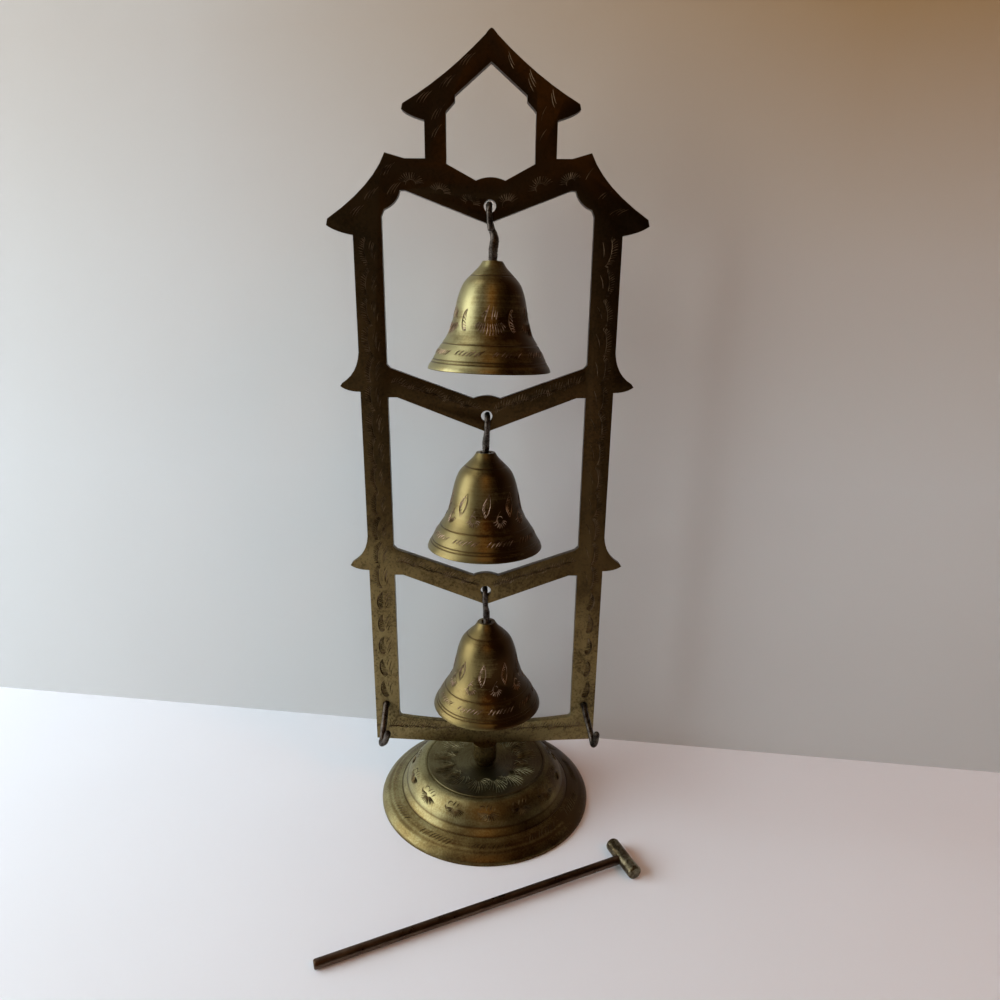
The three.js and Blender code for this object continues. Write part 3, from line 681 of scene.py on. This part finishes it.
feather = fan(12, 22, 158, 6.8, 13.5, root=0.3, bow=0.5)
round_the_foot(
    "foot_feathers", lambda: moved(feather, turn=180 + chance.uniform(-10, 10)),
    13, 0.3, 16.2, disc, cut_disc, 0.25, CUT_WIDTH)


def slanted_row(places, across, along, bow):
    return [stroke(a - across, -along, a + across, along, bow) for a in places]


slashes = slanted_row((-7.2, -5.4, -3.6, -1.8, 0, 1.8, 3.6, 5.4, 7.2), 1.2, 1.5, 0.2)
round_the_foot("foot_slashes", lambda: slashes, 11, 0.35, 6.8, flange, cut_foot, 0.25, 0.3)

# %% [markdown]
# ## The bells
# Each bell is turned: a flared lip, grooves above it, a round shoulder and a small flat crown. All
# three have the same outline, and each leans a little, as it hangs on its bent wire.

# %% Bell outline
RIM_RADIUS, BELL_WALL, BELL_LIP = 25.4, 1.6, 1.9
CROWN_THICKNESS, CEILING_RADIUS, BELL_HOLE = 7.5, 6.6, 2.4
BELL_SHARES = [
    (1, 0), (0.985, 0.03), (0.929, 0.086), (0.857, 0.167), (0.774, 0.248), (0.705, 0.31),
    (0.646, 0.386), (0.598, 0.49), (0.561, 0.6), (0.522, 0.695), (0.451, 0.798), (0.36, 0.862),
    (0.304, 0.896), (0.222, 0.945), (0.16, 1),
]


def bell_skin():
    """The outer outline as (radius, height), fine enough to hold the grooves."""
    coarse = smooth_path([(RIM_RADIUS * r, BELL_HEIGHT * h, 0) for r, h in BELL_SHARES], 8)
    heights = {p.y for p in coarse}
    for middle, width, _ in BELL_GROOVES:
        heights |= {middle + width * share for share in (-0.5, -0.3, 0, 0.3, 0.5)}
    skin = []
    for height in sorted(heights):
        above = next(i for i, p in enumerate(coarse) if p.y >= height - 1e-6)
        low, high = coarse[max(above - 1, 0)], coarse[above]
        share = (height - low.y) / (high.y - low.y) if high.y > low.y else 0
        radius = low.x + (high.x - low.x) * share
        for middle, width, depth in BELL_GROOVES:
            radius -= depth * max(0, 1 - (2 * (height - middle) / width) ** 2)
        skin.append((radius, height - BELL_HEIGHT))
    return skin


def bell_outline(outer):
    inner = []
    for (r0, h0), (r1, h1) in zip(outer[::-4], outer[::-4][1:]):
        way = Vector((r1 - r0, h1 - h0)).normalized()
        r, h = r0 + BELL_WALL * way.y, h0 - BELL_WALL * way.x
        if h < -CROWN_THICKNESS - 0.3 and r > CEILING_RADIUS:
            inner.append((r, h))
    rim = [(RIM_RADIUS - BELL_LIP, -BELL_HEIGHT), (RIM_RADIUS - 0.3, -BELL_HEIGHT)]
    return [
        *rim, (outer[0][0] - 0.05, 0.25 - BELL_HEIGHT), *outer[1:], (BELL_HOLE + 0.2, 0),
        (BELL_HOLE, -0.2), (BELL_HOLE, -CROWN_THICKNESS), (CEILING_RADIUS, -CROWN_THICKNESS),
        *inner, rim[0],
    ]


skin = bell_skin()
print("bell outline:", len(bell_outline(skin)), "points")

# %% Bells
# In millimetres: the hole's height, how far the crown, the hook's end and the plate's vertex are
# below it, and how far the crown, the hanger's bow, its hook and its end are beside the middle
TIER_VALUES = (
    "hole", "drop", "end_drop", "vertex", "sway", "bow", "hook", "end", "tilt", "side", "shank")
TIERS = {
    name: dict(zip(TIER_VALUES, values)) for name, values in (
        ("bottom", (108.2, 15.8, 5.6, 6.6, 0.4, 0.3, -0.3, -0.3, -0.6, -1, 1.65)),
        ("middle", (187.4, 15.5, 5.6, 6.6, -0.3, -0.2, 0.3, 0.3, 0.4, -1, 1.65)),
        ("top", (268.1, 19.8, 9.2, 6.2, 2.1, 2.7, 0.5, 1.1, 1.7, 1, 1.95)))
}
bell_inside = turned_brass("bell_inside", tarnish_and_painted_shade=0.2)


def crown_place(tier):
    """The crown's top, with the bell's lean."""
    spot = STAND_AXIS + Vector((tier["sway"], 0, tier["hole"] - tier["drop"]))
    return Matrix.Translation(spot * MM) @ Matrix.Rotation(radians(tier["tilt"]), 4, "Y")


for tier_name, tier in TIERS.items():
    body = f"bell_{tier_name}"
    bell_mesh = turned(bell_outline(skin), 144)
    bell = new_piece(f"{body}_turned", *bell_mesh, bell_brass[tier_name], sharp=28)
    bell.data.materials.append(bell_inside)
    for face in bell.data.polygons:
        middle = face.center
        if face.normal.x * middle.x + face.normal.y * middle.y < 0 or face.normal.z < -0.5:
            face.material_index = 1
    bell.matrix_world = crown_place(tier)
    settle(bell, body, "bell_brass", body)

# %% [markdown]
# The lip of each bell has a row of slanted strokes. Round the waist, the top bell has wide open
# palms, and the other two have shells and pointed leaves. The cuts are made about each bell's own
# axis and then hung with it.

# %% Ornament of the bells
def lip_row(groups, phase):
    marks = slanted_row((-5.1, -3.4, -1.7, 0, 1.7, 3.4, 5.1), 1.1, 1.1, 0.15)
    angles = [2 * pi * (i + phase) / groups for i in range(groups)]
    return [((angle, 8.4), unsteady(marks, 0.25)) for angle in angles]


fingers = [radians(204 + 11 * i) for i in range(13)]
palm = [
    stroke(4.6 * cos(t), 1.2 * sin(t), 6.8 * cos(t), 5.9 * sin(t), 0.1)
    for t in fingers]
palm += [stroke(-2.2, -0.4, -0.6, 5.8, 0.2), stroke(0.5, 0.4, 0.9, 5.4, 0.1),
         stroke(-3.2, 1.2, -2, 3.8, 0.1), stroke(2.2, 0.6, 2.8, 3.8, 0.1),
         stroke(-1, 4.4, -2.8, 2.6, 0.1), stroke(1.6, 1.6, 1.9, 4.4, 0.1)]
side_leaf = [arc(2.2, 4.6, 100, 260)] + comb(arc(2.2, 4.6, 100, 260), 9, 2.6, 60)
small_shell = fan(8, 200, 340, 3.4, 3.8, root=0.4)
small_shell += [arc(1.3, 1.5, 20, 230), stroke(-1.6, -0.6, 0.8, 3.6, 0.3)]
leaf_edge = smooth_path([(-0.6, -4.4, 0), (-1.7, 0, 0), (1.2, 5.6, 0)], 5)
leaf = [[p.xy for p in leaf_edge], stroke(-0.6, -4.4, 1.2, 5.6, -1.2)] + comb(
    [p.xy for p in leaf_edge], 8, 2, -50, 0.1, 0.8)
WAISTS = {
    "top": [(palm, 5, 22.4, 0.73), (side_leaf, 5, 22.4, 0.22)],
    "middle": [(small_shell, 9, 19, 0.3), (leaf, 9, 24, 0.8)],
    "bottom": [(small_shell, 9, 18.6, 0.1), (leaf, 9, 24, 0.55)],
}
for tier_name, tier in TIERS.items():
    cuts = lip_row(9, 0.2)
    for motif, count, along, phase in WAISTS[tier_name]:
        for i in range(count):
            shape = moved(motif, turn=chance.uniform(-6, 6), size=chance.uniform(0.94, 1.05))
            cuts.append(((2 * pi * (i + phase) / count, along), unsteady(shape)))
    cut_in(f"bell_{tier_name}_cuts", cuts, on_turned(skin, Vector()), cut_bell,
           f"bell_{tier_name}", "bell_brass", width=0.4, place=crown_place(tier))

# %% [markdown]
# ## Hangers
# Each hanger is a bolt whose upper part was hammered thinner and bent over the plate. Its thread
# shows above the crown, and is cut into the bar as a real helix.

# %% Hangers
PLATE_HALF = 1.5
WIRE_RADIUS, WIRE_GAP, HOOK_RADIUS = 1.1, 0.4, 1.25
SHANK_TAIL = 13.8
HOLE_RADIUS = 2.4
THREAD_PITCH, THREAD_DEPTH, HANGER_STEP = 0.7, 0.3, 0.14


def hanger_centres(tier):
    crown = crown_place(tier)
    crown_height, lip = tier["hole"] - tier["drop"], tier["hole"] - HOLE_RADIUS
    rise = tier["hole"] - tier["vertex"] - crown_height
    bend = PLATE_HALF + WIRE_GAP + WIRE_RADIUS
    depth = bend * tier["side"]
    bow, hook = tier["bow"], tier["hook"]
    straight = (-SHANK_TAIL, 0, rise * 0.34)
    knots = [crown @ Vector((0, 0, height * MM)) / MM - STAND_AXIS for height in straight]
    knots += [Vector((bow, depth * 0.5, crown_height + rise * 0.62)),
              Vector((bow + (hook - bow) * 0.55, depth, crown_height + rise * 0.93))]
    for i in range(7):
        angle = i * pi / 6
        knots.append(Vector((hook, depth * cos(angle), lip + bend * sin(angle))))
    end = tier["hole"] - tier["end_drop"]
    knots += [Vector(((hook + tier["end"]) / 2, -depth, (lip + end) / 2)),
              Vector((tier["end"], -depth, end))]
    return [p + STAND_AXIS for p in even_steps(smooth_path(knots, 24), HANGER_STEP)]


def hammered(angle, travel):
    """Shallow dents along a bar, from -1 to 1."""
    return noise.noise(Vector((cos(angle), sin(angle), travel)))


def hanger_section(centres, tier):
    crown_height, lip = tier["hole"] - tier["drop"], tier["hole"] - HOLE_RADIUS
    last = len(centres) - 1

    def radius_at(step, angle):
        centre = centres[step]
        share = min(max((centre.z - crown_height) / (lip - crown_height), 0), 1)
        if -(centre.y - STAND_AXIS.y) * tier["side"] > PLATE_HALF:
            share = 1
        turn = step * HANGER_STEP / THREAD_PITCH - angle / (2 * pi)
        cut = abs((turn % 1) * 2 - 1) * THREAD_DEPTH * max(0, 1 - share * 4)
        share = min(max(0, share - 0.35) / 0.45, 1)
        share = share * share * (3 - 2 * share)
        dent = hammered(angle, step * HANGER_STEP * 1.6)
        blunt = min(1, 0.55 + (last - step) * HANGER_STEP * 0.6)
        radius = tier["shank"] + (HOOK_RADIUS - tier["shank"]) * share - cut
        return radius * (0.95 + 0.09 * dent) * blunt

    return radius_at


for tier_name, tier in TIERS.items():
    centres = hanger_centres(tier)
    body = f"hanger_{tier_name}"
    bar = bar_along(centres, hanger_section(centres, tier), 24)
    settle(new_piece(f"{body}_forged", *bar, black_iron, sharp=60), body, "dark_iron", body)

# %% [markdown]
# ## Mallet hooks
# Two wire hooks are riveted through the feet of the uprights, to carry the mallet. Their tips are
# ground round.

# %% Mallet hooks
REST_RADIUS, REST_REACH, REST_ROOT, REST_STEP = 1.45, 47.5, 49.2, 0.25
REST_DEPTH, REST_LOW, REST_BEND, REST_FRONT, REST_TIP = 13.4, 36.6, -14.8, -16.2, 44.1
RESTS = {"left": (-1, 0.8, -2.8), "right": (1, 3.1, 4.3)}
RIVET = [(0, 0), (2.35, 0), (2.7, 0.35), (2.7, 0.75), (2.35, 1.1), (0, 1.1)]


def rest_centres(side, bend_sway, tip_sway):
    def across(sway):
        return side * (REST_REACH + sway)

    front = -PLATE_HALF - REST_RADIUS
    knots = [(across(0), 2.35, REST_ROOT), (across(0), -PLATE_HALF, REST_ROOT)]
    for share in (0.2, 0.55, 0.9):
        drop = (REST_LOW - REST_ROOT + REST_RADIUS) * share - REST_RADIUS / 2
        out = front - (front + REST_DEPTH) * share
        knots.append((across(bend_sway * share), out, REST_ROOT + drop))
    knots += [(across(bend_sway), REST_BEND, REST_LOW),
              (across((bend_sway + tip_sway) / 2), REST_FRONT, 38.5),
              (across(tip_sway), REST_FRONT, REST_TIP)]
    return [p + STAND_AXIS for p in even_steps(smooth_path(knots, 16), REST_STEP)]


for rest_name, (side, bend_sway, tip_sway) in RESTS.items():
    centres = rest_centres(side, bend_sway, tip_sway)
    last = len(centres) - 1

    def wire_radius(step, angle):
        to_tip = min((last - step) * REST_STEP / 1.3, 1)
        dent = hammered(angle, step * REST_STEP * 0.8 + side)
        return REST_RADIUS * max(sqrt(1 - (1 - to_tip) ** 2), 0.05) * (0.96 + 0.07 * dent)

    points, faces = bar_along(centres, wire_radius, 24)
    head_points, head_faces = turned(RIVET, 32)
    first = len(points)
    points += [
        Vector((side * REST_REACH + x, 1.8 + z, REST_ROOT + y)) + STAND_AXIS
        for x, y, z in head_points]
    faces += [tuple(first + i for i in face) for face in head_faces]
    hook = new_piece(f"mallet_hook_{rest_name}_bent", points, faces, black_iron, sharp=50)
    settle(hook, "stand", "dark_iron", f"mallet_hook_{rest_name}")

# %% [markdown]
# ## The frame
# The plate is 3 mm brass with its edges filed round. Its outline is already in the CAD piece, so
# this piece starts from a copy of that mesh: flat faces are joined up, and every hard edge gets a
# small round. The boss below it is a rough little casting and gets its own mesh.

# %% Plate
def break_edges(piece, width_mm, segments):
    """Rounds every edge that is sharper than 28 degrees."""
    round_over = piece.modifiers.new("broken_edges", "BEVEL")
    round_over.width = width_mm * MM
    round_over.segments = segments
    round_over.limit_method = "ANGLE"
    round_over.angle_limit = radians(28)
    return round_over


BOSS_TOP = 27.95


def cut_off_boss(shape):
    bmesh.ops.bisect_plane(
        shape, geom=shape.verts[:] + shape.edges[:] + shape.faces[:],
        plane_co=(0, 0, BOSS_TOP * MM), plane_no=(0, 0, 1), clear_inner=True)
    bmesh.ops.holes_fill(shape, edges=[e for e in shape.edges if e.is_boundary])
    bmesh.ops.dissolve_limit(
        shape, angle_limit=radians(0.5), verts=shape.verts, edges=shape.edges)


plate_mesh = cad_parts["frame"].data.copy()
reshape(plate_mesh, 0.005, cut_off_boss)
plate_mesh.materials.clear()
plate_mesh.materials.append(frame_brass)
plate = put_in_scene("frame_plate", plate_mesh)
break_edges(plate, 0.35, 3).harden_normals = True
settle(plate, "stand", "frame_brass", "frame")

# %% Boss
BOSS_OUTLINE = [
    (2.8, 16.5), (4.3, 16.5), (4.6, 16.8), (4.6, 17.9), (4.7, 18.1), (5.3, 18.15), (5.62, 18.6),
    (5.7, 19.4), (5.85, 22), (5.9, 24.2), (6, 26.4), (6.1, BOSS_TOP), (0, BOSS_TOP),
]
fine = []
for (r0, h0), (r1, h1) in zip(BOSS_OUTLINE, BOSS_OUTLINE[1:]):
    steps = max(1, int(hypot(r1 - r0, h1 - h0) / 0.4))
    fine += [(r0 + (r1 - r0) * i / steps, h0 + (h1 - h0) * i / steps) for i in range(steps)]
fine.append(BOSS_OUTLINE[-1])
points, faces = turned(fine, 64)
cast_points = []
for p in map(Vector, points):
    lump = 0.16 * noise.noise(p * 0.5) + 0.1 * noise.noise(p * 1.3) - 0.12
    out = Vector((p.x, p.y, 0)).normalized() if p.z > 16.6 and p.length > 1 else Vector()
    cast_points.append(p + out * lump + STAND_AXIS)
boss = new_piece("frame_boss", cast_points, faces, boss_brass, sharp=60)
settle(boss, "stand", "frame_brass", "frame")

# %% [markdown]
# Leaves climb the uprights, and feathers run along the cross members, alike on both sides. Strokes
# without metal under them are left out.

# %% Ornament of the plate
def on_plate(front):
    """The plate's front (1) or back (-1) for cut_in: a spot is (aside, height)."""
    def surface(spot, a, b):
        place = Vector((spot[0] + a * front, -PLATE_HALF * front, spot[1] + b))
        return STAND_AXIS + place, Vector((0, -front, 0))

    return surface


UPRIGHT_MIDDLE, LEAF_GAP, LOWEST_LEAF, CRESCENTS_END, LEAVES_END = 46.95, 11.4, 57.5, 104, 262
ARM_REACH, ARM_RISE, ARM_MIDDLE = 41.3, 13.4, 0.6
BOTTOM_BAR, BOTTOM_SLOPE = 34.4, 0.04
bowed = arc(2.7, 4.6, -78, 82)
crescent = [bowed, arc(2.4, 4.3, -60, 66)] + comb(bowed, 11, 3, 112, 0.06, 0.94)
spread = arc(1.5, 4.8, -80, 84)
palmate = [spread, *comb(spread, 15, 2.6, -62, 0.02, 0.96), stroke(-2.6, 3.6, -1, -1.6, 0.3)]
twigs = [stroke(-3, 3.2, -1.2, -2.4, 0.3), stroke(-2.2, 4.6, -0.6, 1, 0.2),
         stroke(-3, -0.4, -1.8, -3.6, 0.2)]
vein = arc(4.6, 1.6, 20, 165)
plume = [vein] + comb(vein, 9, 3, -118, 0.05, 0.9) + comb(vein, 6, 1.8, 40, 0.2, 0.9)
hub_shell = fan(13, 10, 165, 4.4, 3.6, root=0.4) + [arc(1.7, 1.4, 0, 200)]
tuft = [stroke(1.2 * i - 2.2, 0.3 * i - 2.6, 1.2 * i + 0.4, 0.5 * i + 1.2, 0.3) for i in range(3)]

cad_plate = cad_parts["frame"].data
skin_tree = BVHTree.FromPolygons(
    [v.co.copy() for v in cad_plate.vertices], [tuple(f.vertices) for f in cad_plate.polygons])
EDGE_SPARE = 0.55


def on_metal(surface, cuts):
    """The cuts with metal under their whole length and a little beside it."""
    def has_metal(spot, p):
        for a, b in ((EDGE_SPARE, 0), (-EDGE_SPARE, 0), (0, EDGE_SPARE), (0, -EDGE_SPARE)):
            place, out = surface(spot, p.x + a, p.y + b)
            if skin_tree.ray_cast((place + out) * MM, -out, 1.5 * MM)[0] is None:
                return False
        return True

    return [
        (spot, [path for path in strokes if all(has_metal(spot, p) for p in path)])
        for spot, strokes in cuts]


cuts = []


def add_motif(spot, motif, **way):
    cuts.append((spot, unsteady(moved(motif, **way))))


for side in (-1, 1):
    height = LOWEST_LEAF
    while height < LEAVES_END:
        pattern = (crescent if height < CRESCENTS_END else palmate) + (twigs if side < 0 else [])
        add_motif((side * UPRIGHT_MIDDLE, height), pattern, turn=chance.uniform(-12, 12),
                  size=chance.uniform(0.94, 1.1), flip=side)
        height += LEAF_GAP


def feathers_along(height_at, start, end, step):
    for side in (-1, 1):
        aside = start
        while aside < end:
            slope = degrees(atan(height_at(aside + 1) - height_at(aside))) * side
            add_motif((side * aside, height_at(aside)), plume,
                      turn=slope + chance.uniform(-8, 8), size=chance.uniform(0.85, 1))
            aside += step


for tier_name in ("bottom", "middle"):
    hole = TIERS[tier_name]["hole"]
    feathers_along(lambda aside: hole + ARM_MIDDLE + aside / ARM_REACH * ARM_RISE, 7.5, 42, 7.2)
feathers_along(lambda aside: BOTTOM_BAR + aside * BOTTOM_SLOPE, 12, 43, 7.6)
for aside, up in (
        (-7, 268.8), (7.4, 268.6), (20.2, 274.2), (31.5, 276.2), (-18.5, 272.6), (-29.5, 275.6)):
    add_motif((aside, up), hub_shell, turn=copysign(14, aside) + chance.uniform(-12, 12),
              size=chance.uniform(0.9, 1.15))
for aside, up, lean in (
        (-38.5, 281, -6), (-36, 274.5, -6), (-45, 272.5, -6), (-51, 266.5, -10),
        (39.5, 280, 0), (45.5, 272.5, -20), (50.5, 266.5, -30), (-19, 294, 0),
        (-19, 300, 0), (19, 292, 0), (19, 299, 10), (-24, 305, -10),
        (-15.5, 310, -10), (-8, 317, -10), (24, 305, 50), (15.5, 310, 60),
        (8, 317, 60)):
    add_motif((aside, up), tuft, turn=lean, size=1.05)
for side_name, front in (("front", 1), ("back", -1)):
    skin_here = on_plate(front)
    cut_in(f"frame_{side_name}_cuts", on_metal(skin_here, cuts), skin_here, cut_plate,
           "stand", "frame_brass", width=0.3)

# %% [markdown]
# ## The mallet
# A plain rod with a short cross head lies on the table in front of the foot. The rod's far end is
# cut square, and the head's two faces are blunt from striking.

# %% Mallet
ROD_RADIUS, HEAD_RADIUS, HEAD_LENGTH, MALLET_LENGTH, SOCKET = 1.9, 3.2, 18.8, 132.1, 3.3
MALLET_FAR = Vector((-62.05, -98.9, ROD_RADIUS)) + STAND_AXIS
MALLET_TURN = radians(22.25)
mallet_place = (
    Matrix.Translation(MALLET_FAR * MM) @ Matrix.Rotation(MALLET_TURN, 4, "Z")
    @ Matrix.Rotation(-asin((HEAD_RADIUS - ROD_RADIUS) / MALLET_LENGTH), 4, "Y"))


def worn_bar(outline, sides, dent_mm, dent_depth):
    """A turned bar with shallow dents inside its outline."""
    points, faces = turned(outline, sides)
    dented = []
    for p in map(Vector, points):
        dent = dent_depth * (0.5 + 0.5 * noise.noise(p / dent_mm))
        dented.append(p - Vector((p.x, p.y, 0)) * dent / HEAD_RADIUS)
    return dented, faces


rod_end = MALLET_LENGTH - HEAD_RADIUS + SOCKET
rod_outline = [(0, 0), (ROD_RADIUS - 0.45, 0), (ROD_RADIUS - 0.23, 0.2),
               (ROD_RADIUS - 0.05, 0.45), (ROD_RADIUS - 0.01, 0.9)]
rod_outline += [(ROD_RADIUS - 0.01, 0.9 + (rod_end - 1.3) * i / 90) for i in range(1, 91)]
rod_outline += [(ROD_RADIUS - 0.4, rod_end), (0, rod_end)]
points, faces = worn_bar(rod_outline, 32, 9, 0.12)
rod = new_piece("mallet_rod_worn", [(z, y, -x) for x, y, z in points], faces, rod_steel, sharp=50)
rod.matrix_world = mallet_place
settle(rod, "mallet", "mallet_rod_steel", "mallet_rod")

half = HEAD_LENGTH / 2
end_face = [(0, half), (HEAD_RADIUS - 1.2, half - 0.02), (HEAD_RADIUS - 0.6, half - 0.12),
            (HEAD_RADIUS - 0.25, half - 0.4), (HEAD_RADIUS - 0.06, half - 0.9)]
barrel = [(HEAD_RADIUS - 0.12 * (1 - (i / 12) ** 2), 8.2 * i / 12) for i in range(12, -13, -1)]
head_outline = end_face + barrel + [(r, -h) for r, h in reversed(end_face)]
points, faces = worn_bar(head_outline, 48, 3, 0.22)
across_rod = [(x + MALLET_LENGTH, z, -y) for x, y, z in points]
head = new_piece("mallet_head_worn", across_rod, faces, head_steel, sharp=50)
head.matrix_world = mallet_place
settle(head, "mallet", "mallet_head_steel", "mallet_head")

# %% [markdown]
# ## Small CAD parts
# Nuts, washers and the stud have the right shape already. Their edges are broken a little, and
# they get the finish of their metal.

# %% Nuts, washers and the stud
SMALL_PARTS = {f"foot_{part}": zinc_steel for part in ("stud", "washer", "nut")}
for tier_name in TIERS:
    SMALL_PARTS.update({f"nut_{tier_name}": black_iron, f"washer_{tier_name}": washer_brass})
for node_name, finish in SMALL_PARTS.items():
    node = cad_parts[node_name]
    node.material_slots[0].material = finish
    weld = node.modifiers.new("weld", "WELD")
    weld.merge_threshold = 0.005 * MM
    break_edges(node, 0.12, 2)
    print("finished", node_name)

# %% [markdown]
# ## Table, wall and window light
# The stand is on a white table before a plain wall, with a window on the left. The wall's top
# right is painted darker and warmer, as painted shade. The wall is seen only from its front, so
# that other views can look past it.

# %% Room
PAINT_HEIGHT, PAINT_WIDTH = 400, 600


def plain_sheet(name, corners, colour, painted_shade_corner):
    recipe = Recipe(name)
    place = place_in_mm(recipe)
    x, y, z = split(recipe, place)
    tone = mottle(recipe, place, 160, detail=2)
    paint = blend(recipe, tone, colour, tuple(c * 0.93 for c in colour))
    # Painted shade: the top right of a sheet blends towards a darker, warmer colour.
    to_top = ramp(recipe, z / PAINT_HEIGHT, [(0.375, 0), (0.62, 0.38), (0.875, 1)])
    to_right = ramp(recipe, x / PAINT_WIDTH + 0.5, [(0.25, 0.35), (0.75, 1)])
    paint = blend(recipe, to_top * to_right, paint, painted_shade_corner)
    shader = recipe.node(
        "BsdfPrincipled", None, {"Base Color": paint, "Roughness": 0.75})
    mesh = bpy.data.meshes.new(name)
    mesh.from_pydata([Vector(c) * MM for c in corners], [], [tuple(range(len(corners)))])
    mesh.materials.append(recipe.owner)
    return put_in_scene(name, mesh), recipe, shader


floor, floor_recipe, floor_shader = plain_sheet(
    "table_top", [(-3000, -3000, 0), (3000, -3000, 0), (3000, 3000, 0), (-3000, 3000, 0)],
    (0.78, 0.8, 0.85), (0.78, 0.8, 0.85))
floor_recipe.close(floor_shader)

WALL_TURN = radians(-7.9)
WALL_GAP = 51.4
wall, wall_recipe, wall_shader = plain_sheet(
    "wall", [(-1500, 0, 0), (1500, 0, 0), (1500, 0, 1600), (-1500, 0, 1600)],
    (0.472, 0.468, 0.468), (0.265, 0.168, 0.078))
behind = wall_recipe.node("NewGeometry", output="Backfacing")
clear = wall_recipe.node("BsdfTransparent")
wall_recipe.close(wall_recipe.node("MixShader", None, {0: behind, 1: wall_shader, 2: clear}))
wall.matrix_world = (
    Matrix.Translation(STAND_AXIS * MM) @ Matrix.Rotation(WALL_TURN, 4, "Z")
    @ Matrix.Translation((0, WALL_GAP * MM, 0)))

# %% [markdown]
# From the sides and the back one would look past the wall into an empty room. A wide, pale ring
# closes it. It lights nothing and casts no shadow.

# %% Backdrop ring
RING_RADIUS, RING_HEIGHT, RING_SIDES = 2900, 3500, 64
ring_recipe = Recipe("backdrop_ring")
ring_tone = mottle(ring_recipe, place_in_mm(ring_recipe), 500, detail=2)
paper = ramp(ring_recipe, ring_tone, [(0.3, (0.5, 0.49, 0.48)), (0.7, (0.58, 0.57, 0.56))])
ring_recipe.close(ring_recipe.node("Emission", None, {"Color": paper, "Strength": 1}))
ring_outline = [(RING_RADIUS, -1), (RING_RADIUS, RING_HEIGHT)]
backdrop = new_piece("backdrop_ring", *turned(ring_outline, RING_SIDES), ring_recipe.owner)
backdrop.visible_diffuse = False
backdrop.visible_glossy = False
backdrop.visible_shadow = False

# %% [markdown]
# Three lamps are there for the metal, which shows their shapes, and three for the table and the
# wall, so each can be as soft and as coloured as its surface asks for.

# %% Lamps
def soft_light(name, spot, aim, size, power, colour):
    lamp = bpy.data.lights.new(name, "AREA")
    lamp.shape = "RECTANGLE"
    lamp.size, lamp.size_y = size
    lamp.energy = power
    lamp.color = colour
    light = put_in_scene(name, lamp)
    light.location = spot
    light.rotation_euler = (Vector(aim) - Vector(spot)).to_track_quat("-Z", "Y").to_euler()
    return light


METAL_LIGHTS = [
    ("window", (-1, -0.1, 0.42), (0, 0, 0.3), (0.9, 0.9), 9.4, (0.97, 1, 1)),
    ("upper_pane", (-0.6, -0.05, 1.1), (0, 0, 0.2), (0.4, 0.4), 1.4, (1, 1, 0.96)),
    ("room_lamp", (-0.02, -1.1, 1), (0, 0, 0.1), (0.2, 0.7), 0.9, (1, 0.46, 0.1)),
]
ROOM_LIGHTS = [
    ("daylight", (-1, -0.15, 0.35), (0, 0, 0.2), (1, 1), 26, (0.88, 1, 1.06)),
    ("front_fill", (0.2, -1.6, 0.5), (0, 0, 0.1), (1, 1), 4, (1, 1, 0.84)),
    ("evening_glow", (0.7, -0.5, 0.9), (0.15, 0.1, 0.4), (0.3, 0.3), 2.7, (1, 0.36, 0.14)),
]
for values in METAL_LIGHTS:
    soft_light(*values).visible_diffuse = False
for values in ROOM_LIGHTS:
    soft_light(*values).visible_glossy = False

world = bpy.data.worlds.new("room")
sky = Recipe(world)
towards = split(sky, sky.node("TexCoord", output="Generated"))
left_to_right = ramp(sky, towards[0] * 0.5 + 0.5, [
    (0, (0.2, 0.2, 0.21)), (0.32, (0.14, 0.12, 0.1)), (0.44, (0.13, 0.08, 0.04)),
    (0.53, (0.12, 0.065, 0.025)), (0.64, (0.05, 0.026, 0.011)), (1, (0.024, 0.015, 0.01))])
overhead = 0.36 + sky.maths("MAXIMUM", towards[2], 0) * 1.6
background = sky.node("Background", None, {"Color": left_to_right, "Strength": overhead})
sky.node("OutputWorld", None, {"Surface": background})
bpy.context.scene.world = world
bpy.context.scene.view_settings.view_transform = "Standard"
print("room ready")
